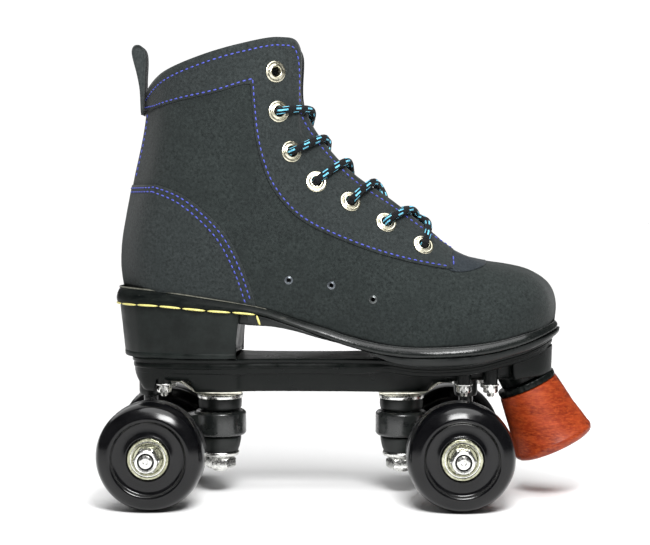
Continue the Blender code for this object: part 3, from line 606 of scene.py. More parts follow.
def prism(name, outline, half_depth, material=None):
    """A side-view outline extruded along Y both ways."""
    count = len(outline)
    verts = [(x, y, z) for y in (-half_depth, half_depth) for x, z in outline]
    faces = [list(range(count)), list(range(2 * count - 1, count - 1, -1))]
    for i in range(count):
        k = (i + 1) % count
        faces.append([i, i + count, k + count, k])
    materials = [material] if material else []
    return outward(make_object(name, verts, faces, *materials, smooth=False))


def bevelled(obj, width, segments=3, angle=35):
    modify(obj, 'BEVEL', width=width * MM, segments=segments, limit_method='ANGLE',
           angle_limit=math.radians(angle), harden_normals=True)
    obj.data.shade_smooth()
    obj.data.set_sharp_from_angle(angle=math.radians(angle))
    return obj


def grown(loop, margin):
    """A counter-clockwise loop of (x, y) moved outward by margin."""
    result = []
    for i, point in enumerate(loop):
        along = loop[(i + 1) % len(loop)] - loop[i - 1]
        result.append(point + Vector((along.y, -along.x)).normalized() * margin)
    return result


def banded_slab(name, loop, edge, lower, upper, material, swells=()):
    """A slab on a paired outline: loop[i] and loop[-i] face each other across the foot.

    edge is rows of (margin, share of the height); lower and upper are side-view lines.
    swells are (from x, to x, extra margin) for the outer rows at the heel or the toe."""
    count = len(loop)
    half = count // 2
    verts = []
    for margin, share in edge:
        ring = grown(loop, margin)
        for start, end, extra in swells if margin > -3 else ():
            unit = grown(loop, 1.0)
            ring = [p + (out - flat) * extra * ease((flat.x - start) / (end - start))
                    for p, flat, out in zip(ring, loop, unit)]
        for p in ring:
            low = interpolate(lower, p.x)
            verts.append((p.x, p.y, low + (interpolate(upper, p.x) - low) * share))
    faces = strips(len(edge), count)
    for base in (0, (len(edge) - 1) * count):
        for i in range(half):
            right = (i, i + 1)
            left = ((count - i) % count, (count - i - 1) % count)
            face = []
            for vertex in (right[0], right[1], left[1], left[0]):
                if base + vertex not in face:
                    face.append(base + vertex)
            if len(face) > 2:
                faces.append(face)
    return outward(make_object(name, verts, faces, material, sharp=40))


def ease(t):
    """A smooth step from 0 to 1."""
    t = min(max(t, 0.0), 1.0)
    return t * t * (3 - 2 * t)


def paired_loop(right, left):
    """A loop from a right and a left edge that share their first and last points."""
    return [Vector((p.x, -p.y)) for p in right] + list(reversed(left))[1:-1]


def foot_loop(steps=6):
    right = smooth_curve([Vector((x, w)) for x, w, extra in FOOT_PLAN], steps)
    left = smooth_curve([Vector((x, w + extra)) for x, w, extra in FOOT_PLAN], steps)
    return paired_loop(right, left)


WELT_LINE = smooth_line(WELT_TOP)
SOLE_LINE = smooth_line(SOLE_BOTTOM)
SEAM_LINE = smooth_line(SEAM)


def shifted(line, dz):
    return [(x, z + dz) for x, z in line]


# ---- camera, floor and light
def build_camera():
    data = bpy.data.cameras.new("photo_camera")
    data.sensor_width = 36.0
    data.lens = CAMERA_LENS
    camera = bpy.data.objects.new("photo_camera", data)
    camera.location = CAMERA_PLACE
    camera.rotation_euler = (math.radians(90 - CAMERA_TILT), 0.0, math.radians(CAMERA_PAN))
    bpy.context.scene.collection.objects.link(camera)
    bpy.context.scene.camera = camera


def build_stage():
    """A pale floor out to the horizon, and the light over it."""
    paint = Paint("pale_floor", (0.92, 0.92, 0.92), 0.9)
    cloud = paint.noise(300.0, 2.0)
    paint.shade(Base_Color=paint.mix(cloud, (0.90, 0.90, 0.90), (0.93, 0.93, 0.93)))
    turns = [math.tau * k / FLOOR_SIDES for k in range(FLOOR_SIDES)]
    ring = [(FLOOR_REACH * math.cos(turn), FLOOR_REACH * math.sin(turn), -0.2) for turn in turns]
    floor = make_object("floor", ring, [list(range(FLOOR_SIDES))], paint.material, smooth=False)
    build_light()


def build_light():
    """A white backdrop, a dimmer room, two broad suns and one softbox."""
    world = bpy.data.worlds.new("studio")
    bpy.context.scene.world = world
    world.use_nodes = True
    nodes = world.node_tree.nodes
    links = world.node_tree.links
    room = nodes["Background"]
    backdrop = nodes.new("ShaderNodeBackground")
    for background, strength in ((room, 0.11), (backdrop, 1.05)):
        background.inputs["Color"].default_value = (1.0, 1.0, 1.0, 1.0)
        background.inputs["Strength"].default_value = strength
    path = nodes.new("ShaderNodeLightPath")
    mix = nodes.new("ShaderNodeMixShader")
    sources = (path.outputs["Is Camera Ray"], room.outputs[0], backdrop.outputs[0])
    for socket, source in zip(mix.inputs, sources):
        links.new(source, socket)
    links.new(mix.outputs[0], nodes["World Output"].inputs["Surface"])
    lamp("sun", 'SUN', (0.1, -0.25, 1.0), (0, 0, 0), energy=2.9, angle=math.radians(50))
    lamp("back_fill", 'SUN', (-0.3, 0.8, 0.75), (0, 0, 0), energy=0.9, angle=math.radians(60))
    lamp("softbox", 'AREA', (0.05, -0.42, 0.43), (0, 0, 0.09), shape='RECTANGLE', size=0.20,
         size_y=0.13, energy=3.8)
    bpy.context.scene.view_settings.view_transform = 'Standard'


def lamp(name, kind, place, aim, **settings):
    """A lamp at a place, aimed at a point and unseen by the camera."""
    data = bpy.data.lights.new(name, kind)
    for key, value in settings.items():
        setattr(data, key, value)
    obj = bpy.data.objects.new(name, data)
    obj.location = place
    obj.rotation_euler = (Vector(aim) - Vector(place)).to_track_quat('-Z', 'Y').to_euler()
    obj.visible_camera = False
    bpy.context.scene.collection.objects.link(obj)


# ---- boot upper
def rib_point(rib, side, t):
    """A point on one rib; side is -1 for the right (inner) half and +1 for the left."""
    base_x, base_w, extra, low, high, top = rib
    base = Vector((base_x, base_w, interpolate(WELT_LINE, base_x) + GAP))
    point = ((1 - t) ** 3 * base + 3 * (1 - t) ** 2 * t * Vector(low)
             + 3 * (1 - t) * t ** 2 * Vector(high) + t ** 3 * Vector(top))
    if side > 0:
        point.y += extra * (1 - t) ** 1.3
    return Vector((point.x, side * point.y, point.z))


def upper_grid():
    """Rows of points round the boot, from the welt (row 0) to the top edge (last row)."""
    rows = []
    for row in range(RIB_ROWS):
        t = row / (RIB_ROWS - 1)
        right = smooth_curve([rib_point(rib, -1, t) for rib in UPPER_RIBS], RIB_SPLIT)
        left = smooth_curve([rib_point(rib, 1, t) for rib in UPPER_RIBS], RIB_SPLIT)
        ring = right + list(reversed(left))[1:-1]
        if row == 0:
            for p in ring:
                p.z = interpolate(WELT_LINE, p.x) + GAP - 1.0
        rows.append(ring)
    return rows


def grid_normals(rows):
    """Outward normals of the upper's grid."""
    count = len(rows[0])
    result = []
    for j, row in enumerate(rows):
        up = rows[min(j + 1, len(rows) - 1)]
        down = rows[max(j - 1, 0)]
        line = []
        for i in range(count):
            along = row[(i + 1) % count] - row[i - 1]
            rise = up[i] - down[i]
            line.append(along.cross(rise).normalized())
        result.append(line)
    return result


def grid_object(name, rows, *materials):
    verts = [p for row in rows for p in row]
    return make_object(name, verts, strips(len(rows), len(rows[0])), *materials)


def offset_grid(rows, normals, distance):
    return [[p + n * distance for p, n in zip(row, line)] for row, line in zip(rows, normals)]


def grid_tree(rows):
    return BVHTree.FromPolygons([p for row in rows for p in row], strips(len(rows), len(rows[0])))


def wall(obj, thickness, rim_offset=0, inner_offset=0):
    return modify(obj, 'SOLIDIFY', thickness=thickness * MM, offset=-1.0, use_rim=True,
                  material_offset=inner_offset, material_offset_rim=rim_offset)


def ray_hit(tree, origin, ray, out):
    """Where a ray meets the surface, with the normal that faces out; None where it misses."""
    point, normal, _, _ = tree.ray_cast(origin, ray)
    if point is None:
        return None
    return point, (-normal if normal.dot(out) < 0 else normal)


def side_hit(tree, x, z, side):
    return ray_hit(tree, Vector((x, side * 200.0, z)), Vector((0, -side, 0)), Vector((0, side, 0)))


def hits_along(tree, line, side):
    points = [side_hit(tree, p.x, p.y, side) for p in line]
    return [p for p in points if p is not None]


def back_hit(tree, y, z):
    return ray_hit(tree, Vector((-250.0, y, z)), Vector((1, 0, 0)), Vector((-1, 0, 0)))


def round_back(tree, right, left, steps=40):
    """Points round the back of the heel from a right-hand point to a left-hand one."""
    axis_x = right.x + 10.0
    start = math.atan2(right.y, right.x - axis_x)
    end = math.atan2(left.y, left.x - axis_x)
    if start > 0:
        start -= math.tau
    if end > 0:
        end -= math.tau
    result = []
    for k in range(1, steps):
        t = k / steps
        angle = start + (end - start) * t
        origin = Vector((axis_x, 0, right.z + (left.z - right.z) * t))
        ray = Vector((math.cos(angle), math.sin(angle), 0))
        result.append(ray_hit(tree, origin, ray, ray))
    return [hit for hit in result if hit is not None]


def row_through(tree, line):
    """A stitch row that follows a side-view line on both sides and round the heel."""
    dense = resample(smooth_curve([Vector(p) for p in line], 6), 0.6)
    right = hits_along(tree, dense, -1)
    left = hits_along(tree, dense, 1)
    return list(reversed(right)) + round_back(tree, right[0][0], left[0][0]) + left


def trimmed_line(line, low_x):
    """A side-view line from low_x on, with its end kept on the line."""
    return [(low_x, interpolate(line, low_x))] + [p for p in line if p[0] > low_x]


def stitches(name, path, pitch, length, radius, material, sink=0.1, first=0.5, sides=6):
    """One mesh of separate stitches along a path of (point, normal)."""
    verts = []
    faces = []
    travelled = 0.0
    target = pitch * first
    for (a, normal_a), (b, normal_b) in zip(path, path[1:]):
        span = (b - a).length
        if span < 1e-6 or span > 8.0:
            continue
        while travelled + span >= target:
            t = (target - travelled) / span
            centre = a.lerp(b, t)
            up = normal_a.lerp(normal_b, t).normalized()
            add_stitch(verts, faces, centre - up * sink, (b - a).normalized(), up, length, radius, sides)
            target += pitch
        travelled += span
    obj = outward(make_object(name, verts, faces, material))
    return settle(obj, "root", slot="lace")


STITCH_RINGS = ((-1.0, 0.25, -0.55), (-0.82, 0.8, 0.0), (-0.4, 1.0, 0.42), (0.0, 1.04, 0.52),
                (0.4, 1.0, 0.42), (0.82, 0.8, 0.0), (1.0, 0.25, -0.55))


BLUE_ROW = (STITCH_PITCH, STITCH_L, STITCH_R, BLUE_THREAD)


def add_stitch(verts, faces, centre, along, up, length, radius, sides):
    """A plump thread loop that dips into the leather at both ends."""
    across = up.cross(along).normalized()
    start = len(verts)
    for share, swell, lift in STITCH_RINGS:
        middle = centre + along * (share * length / 2) + up * (lift * radius)
        for k in range(sides):
            angle = math.tau * k / sides
            verts.append(middle + (across * math.cos(angle) + up * math.sin(angle)) * radius * swell)
    rings = len(STITCH_RINGS)
    faces += strips(rings, sides, start)
    faces.append([start + k for k in range(sides)])
    faces.append([start + (rings - 1) * sides + k for k in range(sides)])


def hole_cutters(name, hits, radius):
    rods = [lathe(f"{name}_{i}", [(0, -6), (radius, -6), (radius, 6), (0, 6)], LINING,
                  facing(centre, normal), 24, closed=False) for i, (centre, normal) in enumerate(hits)]
    return join(name, rods)


def eyelet(name, centre, normal, outer, inner, height, material, lift=0.0):
    """A rolled metal ring set in the leather, with its barrel through the hole."""
    lip = inner + (outer - inner) * 0.42
    profile = [(inner, -UPPER_T - 1.2), (inner, height * 0.45), (inner + 0.3, height * 0.9),
               ((lip + inner) / 2, height), (lip, height * 0.72), (lip + 0.3, height * 0.42),
               (outer - 0.9, height * 0.5), (outer - 0.25, height * 0.36), (outer, 0.08),
               (outer - 0.25, -0.15), (inner + 0.5, -0.15), (inner + 0.45, -UPPER_T - 1.2)]
    return lathe(name, rounded(profile, 0.35), material, facing(centre + normal * lift, normal), 40)


def panel(name, rows, material, thickness, outline, depth):
    """A leather panel cut out of the upper's surface by a side-view outline."""
    piece = grid_object(name, rows, material, material, EDGE)
    wall(piece, thickness, rim_offset=2)
    boolean(piece, prism(f"{name}_cut", outline, depth, EDGE), 'INTERSECT')
    return settle(piece, "root", slot="suede")


def build_upper():
    rows = upper_grid()
    normals = grid_normals(rows)
    for row, line in zip(rows, normals):
        for p, n in zip(row, line):
            soft = noise.noise(p * 0.045) * 0.45 + noise.noise(p * 0.12) * 0.12
            p += n * soft
    base_tree = grid_tree(rows)
    raised = offset_grid(rows, normals, PANEL_T)
    panel_tree = grid_tree(raised)
    eyelets = [side_hit(base_tree, x, z, side) for side in (-1, 1) for x, z in EYELETS]
    vents = [side_hit(base_tree, x, z, -1) for x, z in VENTS]

    shell = grid_object("upper_shell", rows, SUEDE, LINING, EDGE)
    wall(shell, UPPER_T, rim_offset=2, inner_offset=1)
    boolean(shell, hole_cutters("eyelet_cut", eyelets, EYELET_HOLE_R), 'DIFFERENCE')
    boolean(shell, hole_cutters("vent_cut", vents, VENT_R), 'DIFFERENCE')
    settle(shell, "root", "boot_upper", slot="suede")

    band_edge = smooth_line(BAND_LINE[:5], 4)[:-1] + smooth_line(BAND_LINE[5:], 4)
    margin = [(x - 1.2 if x > -52.5 else x, z - 1.4) for x, z in band_edge]
    outline = margin + smooth_line(EYESTAY_END, 4) + [(0, 300), (-150, 300), (-150, 212)]
    collar = panel("collar_panel", raised, PANEL_SUEDE, PANEL_T + 0.3, outline, 90)
    boolean(collar, hole_cutters("eyelet_cut", eyelets, EYELET_HOLE_R), 'DIFFERENCE')

    patch_rows = offset_grid(rows, normals, PANEL_T * 0.55)
    outline = smooth_line(VAMP_LINE, 4) + [(80, 150), (54.8, 150)]
    panel("throat_patch", patch_rows, PATCH_SUEDE, PANEL_T, outline, 60)

    edge = [(x + 1.7, z + 1.3) for x, z in smooth_line(COUNTER_LINE, 4)]
    outline = [(-150, 174.0)] + edge + [(-48, 95), (-150, 95)]
    panel("counter_panel", raised, PANEL_SUEDE, PANEL_T + 0.3, outline, 90)

    build_stitching(rows, raised, base_tree, panel_tree)
    build_rings(eyelets, vents)
    return eyelets


def build_stitching(rows, raised, base_tree, panel_tree):
    """The blue rows: along the panels, at the throat, round the top edge and up the back."""
    start_x = -108.0
    lines = {"band": BAND_LINE, "counter": COUNTER_LINE,
             "counter_inner": [(x - 2.6, z - 2.0) for x, z in COUNTER_LINE]}
    for name, line in lines.items():
        path = row_through(panel_tree, trimmed_line(line, start_x))
        stitches(f"stitch_{name}_0", path, *BLUE_ROW)
    column = [Vector((56.0, z)) for z in (134.6, 133.4, 132.2, 131.0)]
    short = [(p + n * 0.4, n) for p, n in hits_along(base_tree, column, -1)]
    stitches("stitch_throat", short, 3.4, 3.0, STITCH_R, BLUE_THREAD)
    # the row that follows the top edge, from one facing's foot round the collar to the other
    count = len(rows[0])
    half = count // 2
    last = int(half * 9.7 / 12)
    columns = list(range(last, -1, -1)) + list(range(count - 1, count - last - 1, -1))
    path = []
    for i in columns:
        travelled = 0.0
        edge = (raised[-1][(i + 1) % count] - raised[-1][i - 1]).normalized()
        rib = (raised[-1][i] - raised[-5][i]).normalized()
        inset = TOP_ROW_INSET / max(edge.cross(rib).length, 0.3)
        for j in range(len(raised) - 1, 0, -1):
            a = raised[j][i]
            b = raised[j - 1][i]
            if travelled + (b - a).length >= inset:
                share = (inset - travelled) / (b - a).length
                path.append((a.lerp(b, share), (a - rows[j][i]).normalized()))
                break
            travelled += (b - a).length
    stitches("stitch_top_edge", path, *BLUE_ROW)
    for side in (-1, 1):
        label = "right" if side < 0 else "left"
        back = [back_hit(base_tree, side * 2.4, 178.0 + 0.6 * k) for k in range(60)]
        path = [p for p in back if p is not None]
        stitches(f"stitch_back_{label}", path, *BLUE_ROW)


def build_rings(eyelets, vents):
    rings = [eyelet(f"ring_{i}", centre, normal, 5.9, 2.5, 1.3, EYELET_METAL, PANEL_T)
             for i, (centre, normal) in enumerate(eyelets)]
    settle(join("eyelet_rings", rings), "root", slot="zinc")
    # The first two vent rings get the lighter metal as a painted highlight; the third keeps the dark metal.
    small = [eyelet(f"vent_{i}", centre, normal, 2.3, 1.05, 0.45, GUN_METAL if i == 2 else VENT_HIGHLIT_METAL)
             for i, (centre, normal) in enumerate(vents)]
    settle(join("vent_rings", small), "root", slot="zinc")


def build_tongue():
    """A padded strip under the facings, bowed across its width, with flat bound edges."""
    line = smooth_curve([Vector((x, 0, z)) for x, z in TONGUE_LINE], 8)
    across = [-1.0 + 2.0 * k / 24 for k in range(25)]
    verts = []
    rows = len(line)
    loop = 2 * len(across)
    for i, point in enumerate(line):
        along = heading(line, i)
        inward = Vector((-along.z, 0, along.x))
        close = min(1.0, (rows - 1 - i) / 4.0 + 0.25)
        outer = []
        inner = []
        for s in across:
            drop = TONGUE_DROP + TONGUE_SAG * s * s
            base = point + inward * drop + Vector((0, s * TONGUE_HALF_W, 0))
            pad = max(0.0, 1.0 - (s / 0.84) ** 2) ** 0.7 * close
            outer.append(base - inward * (1.7 * pad - 0.2))
            inner.append(base + inward * (1.6 + (TONGUE_T - 1.2) * pad))
        verts += outer + list(reversed(inner))
    faces = strips(rows, loop)
    for base in (0, (rows - 1) * loop):
        for k in range(len(across) - 1):
            faces.append([base + k, base + k + 1, base + loop - 2 - k, base + loop - 1 - k])
    tongue = outward(make_object("tongue_pad", verts, faces, SUEDE))
    settle(tongue, "root", "boot_tongue", slot="lining")


def strap_ring(path, thickness, half_width, name, material):
    """A flat strap that follows a closed side-view path."""
    count = len(path)
    verts = []
    for i, p in enumerate(path):
        along = (path[(i + 1) % count] - path[i - 1]).normalized()
        out = Vector((along.y, -along.x))
        for offset, y in ((0, -half_width), (0, half_width), (-thickness, half_width),
                          (-thickness, -half_width)):
            q = p + out * offset
            verts.append((q.x, y, q.y))
    faces = [[corner % len(verts) for corner in face] for face in strips(count + 1, 4)]
    return bevelled(outward(make_object(name, verts, faces, material)), 0.25, 2)


def build_pull_tab():
    """A folded strap loop standing on the back of the collar."""
    outline = [(-113.9, 226.6), (-114.7, 219.0), (-114.9, 213.6), (-116.1, 213.6), (-116.7, 226.0),
               (-118.3, 235.0), (-120.6, 244.0), (-120.9, 248.4), (-119.2, 250.9), (-116.0, 250.7),
               (-113.8, 247.6), (-113.3, 242.0), (-113.7, 234.0)]
    loop = smooth_curve([Vector(p) for p in outline + outline[:1]], 5)[:-1]
    strap = strap_ring(loop, -0.9, 6.5, "pull_strap", TAB_SUEDE)
    verts = []
    face_rows = ((1.0, -5.4), (0.86, -6.1), (0.5, -6.35))
    middle = Vector((-117.0, 240.0))
    count = len(loop)
    faces = []
    for share, depth in face_rows:
        for side in (1, -1):
            for p in loop:
                q = middle.lerp(p, share)
                verts.append((q.x, depth * side, q.y))
    for side in (0, 1):
        for j in range(len(face_rows) - 1):
            for k in range(count):
                n = (k + 1) % count
                a = (2 * j + side) * count
                b = (2 * j + 2 + side) * count
                faces.append([a + k, a + n, b + n, b + k])
        faces.append([(4 + side) * count + k for k in range(count)])
    for k in range(count):
        n = (k + 1) % count
        faces.append([k, n, count + n, count + k])
    fill = outward(make_object("pull_fill", verts, faces, TAB_SUEDE))
    tab = join("pull_tab", [strap, fill])
    settle(tab, "root", "boot_pull_tab", slot="suede")


# ---- lace
def throat_frames():
    """Points down the middle of the throat, each with its outward direction."""
    line = smooth_curve([Vector((x, 0, z)) for x, z in TONGUE_LINE], 8)
    frames = []
    for i, point in enumerate(line):
        along = heading(line, i)
        frames.append((point, Vector((along.z, 0, -along.x))))
    return frames


def nearest_frame(frames, centre):
    flat = Vector((centre.x, 0, centre.z))
    return min(range(len(frames)), key=lambda i: (frames[i][0] - flat).length)


def throat_point(frames, place, width, height):
    """A point at a place along the throat, width to the left and height above the facings."""
    low = min(int(place), len(frames) - 2)
    share = place - low
    point = frames[low][0].lerp(frames[low + 1][0], share)
    out = frames[low][1].lerp(frames[low + 1][1], share).normalized()
    return point + out * height + Vector((0, width, 0))


def lace_half(frames, order, cross_height):
    """One zigzag, from its tail inside the boot to outside its last eyelet."""
    centre, normal = order[0]
    side = 1.0 if centre.y > 0 else -1.0
    route = [Vector((centre.x - back, centre.y - side * inset, centre.z - down))
             for back, inset, down in LACE_TAIL]
    route.append(centre - normal * (UPPER_T + LACE_UNDER))
    for (here, out), (there, there_out) in zip(order, order[1:]):
        side = 1.0 if here.y > 0 else -1.0
        start = nearest_frame(frames, here)
        end = nearest_frame(frames, there)
        route.append(here - out * (UPPER_T / 2))
        route.append(here + out * LACE_OVER)
        for share, width, height in ((0.2, EDGE_W, EDGE_OVER), (0.5, 0.0, cross_height),
                                     (0.8, -EDGE_W, -EDGE_UNDER)):
            route.append(throat_point(frames, start + (end - start) * share, side * width, height))
        route.append(there - there_out * (UPPER_T + LACE_UNDER))
    last, last_out = order[-1]
    route.append(last - last_out * (UPPER_T / 2))
    route.append(last + last_out * LACE_OVER)
    return route


def centripetal(points, spacing):
    """A smooth curve through unevenly spaced points that doesn't overshoot."""
    ends = [points[0] * 2 - points[1]] + points + [points[-1] * 2 - points[-2]]
    result = []
    for i in range(1, len(ends) - 2):
        quad = ends[i - 1:i + 3]
        knots = [0.0]
        for a, b in zip(quad, quad[1:]):
            knots.append(knots[-1] + max((b - a).length, 1e-4) ** 0.5)
        steps = max(2, round((quad[2] - quad[1]).length / spacing))
        for k in range(steps):
            t = knots[1] + (knots[2] - knots[1]) * k / steps
            level = quad
            for reach in (1, 2, 3):
                reaches = [(n, n + reach) for n in range(4 - reach)] if reach < 3 else [(1, 2)]
                shares = [(t - knots[low]) / (knots[high] - knots[low]) for low, high in reaches]
                level = [a * (1 - share) + b * share for a, b, share in zip(level, level[1:], shares)]
            result.append(level[0])
    result.append(points[-1])
    return result


def tube(name, line, radius, sides, material):
    """A round cord along a line, with UVs of turn and length for its braid."""
    verts = []
    lengths = [0.0]
    across = Vector((0, 0, 1)).cross(line[1] - line[0]).normalized()
    for i, point in enumerate(line):
        along = heading(line, i)
        across = (across - along * across.dot(along)).normalized()
        up = along.cross(across)
        if i:
            lengths.append(lengths[-1] + (point - line[i - 1]).length)
        for k in range(sides):
            angle = math.tau * k / sides
            turns = BRAID_STRANDS * k / sides
            rise = lengths[-1] * BRAID_WAVES_PER_M * MM
            weave = math.sin(math.tau * (turns + rise)) * math.sin(math.tau * (turns - rise))
            r = radius + BRAID_RELIEF * weave
            verts.append(point + (across * math.cos(angle) + up * math.sin(angle)) * r)
    last = (len(line) - 1) * sides
    faces = strips(len(line), sides)
    faces += [list(range(sides - 1, -1, -1)), list(range(last, last + sides))]
    uvs = []
    for low, high in zip(lengths, lengths[1:]):
        low, high = low * MM, high * MM
        for k in range(sides):
            here, there = k / sides, (k + 1) / sides
            uvs += [(here, low), (there, low), (there, high), (here, high)]
    uvs += [(0.05, 0.0)] * (2 * sides)
    obj = make_object(name, verts, faces, material)
    layer = obj.data.uv_layers.new(name="braid")
    layer.data.foreach_set("uv", [c for uv in uvs for c in uv])
    return obj


def build_lace(eyelets):
    """One cord laced from the inside out through eyelets two to seven."""
    right = eyelets[:len(EYELETS)]
    left = eyelets[len(EYELETS):]
    frames = throat_frames()
    order_a = [right[1], left[2], right[3], left[4], right[5], left[6]]
    order_b = [left[1], right[2], left[3], right[4], left[5], right[6]]
    first = lace_half(frames, order_a, CROSS_OVER)
    second = lace_half(frames, order_b, -CROSS_UNDER)
    bar_at = nearest_frame(frames, right[6][0])
    bar = [throat_point(frames, bar_at + up, width, height)
           for up, width, height in ((2.2, EDGE_W - 1.0, EDGE_OVER), (4.5, 0, 1.2),
                                     (2.2, 1.0 - EDGE_W, EDGE_OVER))]
    route = first + bar + list(reversed(second))
    line = centripetal(route, 0.8)
    lace = tube("lace_cord", line, LACE_R, 24, LACE)
    settle(lace, "root", "boot_lace", slot="lace")
    for side, (end, inner) in (("right", (route[0], route[1])), ("left", (route[-1], route[-2]))):
        along = (end - inner).normalized()
        profile = [(0, -0.5), (LACE_R, -0.5), (LACE_R + 0.1, 0.4), (LACE_R - 0.25, 1.4),
                   (LACE_R - 0.3, AGLET_L - 3), (LACE_R - 0.7, AGLET_L - 0.6), (0, AGLET_L)]
        tip = lathe(f"aglet_{side}", rounded(profile, 0.4, closed=False), AGLET,
                    facing(end + along * GAP, along), 32, closed=False)
        settle(tip, "root", f"lace_aglet_{side}", slot="aglet")


# ---- sole, welt and heel
def build_sole():
    loop = foot_loop()
    welt_edge = [(-6, 0.0), (1.6, 0.0), (2.4, 0.04), (2.85, 0.12), (3.0, 0.26), (2.8, 0.42),
                 (2.45, 0.56), (1.95, 0.69), (1.45, 0.79), (1.25, 0.83), (1.35, 0.87), (1.4, 0.92),
                 (1.2, 0.97), (0.8, 1.0), (0.4, 0.985), (0.0, 0.92), (-6, 0.88)]
    welt = banded_slab("welt_band", loop, welt_edge, shifted(SEAM_LINE, GAP / 2), WELT_LINE,
                       WELT_LEATHER, [(-96, -126, RAND_BULGE), (84, 112, -1.3)])
    # Pale colour on the rand's top lip rows towards the heel: a painted highlight.
    welt.data.materials.append(RAND_HIGHLIGHT)
    for face in welt.data.polygons:
        row = face.index // len(loop)
        if row in RAND_HIGHLIGHT_ROWS and face.center.x < RAND_HIGHLIGHT_END * MM:
            face.material_index = 1
    settle(welt, "root", "boot_welt", slot="sole")
    sole_edge = [(-6, 0.0), (0.9, 0.0), (1.6, 0.08), (2.0, 0.24), (2.2, 0.5), (2.35, 0.78),
                 (2.2, 0.95), (1.8, 1.0), (-6, 1.0)]
    sole = banded_slab("outsole_band", loop, sole_edge, SOLE_LINE, shifted(SEAM_LINE, -GAP / 2),
                       SOLE_RUBBER, [(-56, -60, -4.2), (84, 112, 0.5)])
    settle(sole, "root", "boot_outsole", slot="sole")
    insole_edge = [(-7.5, 0.0), (-5.2, 0.1), (-4.7, 0.5), (-5.2, 0.95), (-7.0, 1.0), (-12, 0.8)]
    insole = banded_slab("insole_pad", loop, insole_edge, shifted(WELT_LINE, GAP),
                         shifted(WELT_LINE, 3.6), LINING)
    settle(insole, "root", "boot_insole", slot="lining")
    build_heel(loop)
    build_welt_threads(foot_loop(30))


def build_heel(foot):
    """A stacked heel: the plan's back part closed by a shallow curve, waisted in profile."""
    front = -60.6
    half = len(foot) // 2
    right = [Vector((p.x, -p.y)) for p in foot[:half + 1] if p.x < front - 2.5]
    left = [p for p in ([foot[0]] + list(reversed(foot[half:]))) if p.x < front - 2.5]
    size = min(len(right), len(left))
    right = right[:size]
    left = left[:size]
    wide = right[-1].y
    wide_left = left[-1].y
    front_curve = ((-0.9, 0.995), (-0.1, 0.975), (0.0, 0.93), (-0.3, 0.75), (-0.8, 0.5), (-1.2, 0.25))
    right += [Vector((front + dx, wide * share)) for dx, share in front_curve]
    left += [Vector((front + dx, wide_left * share)) for dx, share in front_curve]
    tip = Vector((front - 1.4, 0.0))
    loop = paired_loop(right + [tip], left + [tip])
    edge = [(-6.0, 0.0), (-2.2, 0.0), (-1.95, 0.02), (-1.9, 0.09), (-2.05, 0.1), (-1.9, 0.115),
            (-1.3, 0.32), (-0.6, 0.55), (0.1, 0.78), (0.6, 0.94), (0.55, 0.99), (0.2, 1.0),
            (-1.8, 1.0), (-2.0, 0.76), (-6.0, 0.76)]
    roof = shifted(SEAM_LINE, -GAP)
    base = PLATE_TOP + GAP
    floor = [(-140, base + 1.5), (-121, base), (front + 6, base)]
    heel = banded_slab("heel_block", loop, edge, floor, roof, HEEL_RUBBER, [(-100, -124, 2.0)])
    settle(heel, "root", "boot_heel", slot="sole")


def rim_path(loop, margin, line, low_x, high_x):
    """Points with outward normals round the sole's rim, right side to left side past the heel."""
    wide = grown(loop, margin + RAND_BULGE)
    outer = [a.lerp(b, ease((-96 - a.x) / 30)) for a, b in zip(grown(loop, margin), wide)]
    count = len(loop)
    half = count // 2
    order = list(range(half, -1, -1)) + list(range(count - 1, half - 1, -1))
    path = []
    for i in order:
        p = outer[i]
        if low_x <= p.x <= high_x:
            out = (outer[i] - loop[i]).normalized()
            facing_out = Vector((out.x, out.y, 0.1)).normalized()
            path.append((Vector((p.x, p.y, interpolate(line, p.x))), facing_out))
    return path


def build_welt_threads(loop):
    """Long yellow stitches along the rand's lower seam, each row ending in an upright one."""
    path = rim_path(loop, 2.4, SEAM_LINE, -140, RAND_THREAD_END)
    stitches("stitch_rand", path, WELT_STITCH_PITCH, WELT_STITCH_L, WELT_STITCH_R, YELLOW_THREAD,
             sink=0.2, sides=10, first=0.47)
    for side, (top, out) in ((-1, path[0]), (1, path[-1])):
        label = "right" if side < 0 else "left"
        down = [(Vector((top.x + 0.5 + 0.28 * k, top.y, top.z - 0.2 - 0.8 * k)), out) for k in range(9)]
        stitches(f"stitch_rand_end_{label}", down, 5.8, 5.6, WELT_STITCH_R, YELLOW_THREAD,
                 sink=0.0, sides=10)


# ---- plate
def plate_loop(points, steps=4):
    right = smooth_curve([Vector(p) for p in points], steps)
    return paired_loop(right, [p.copy() for p in right])


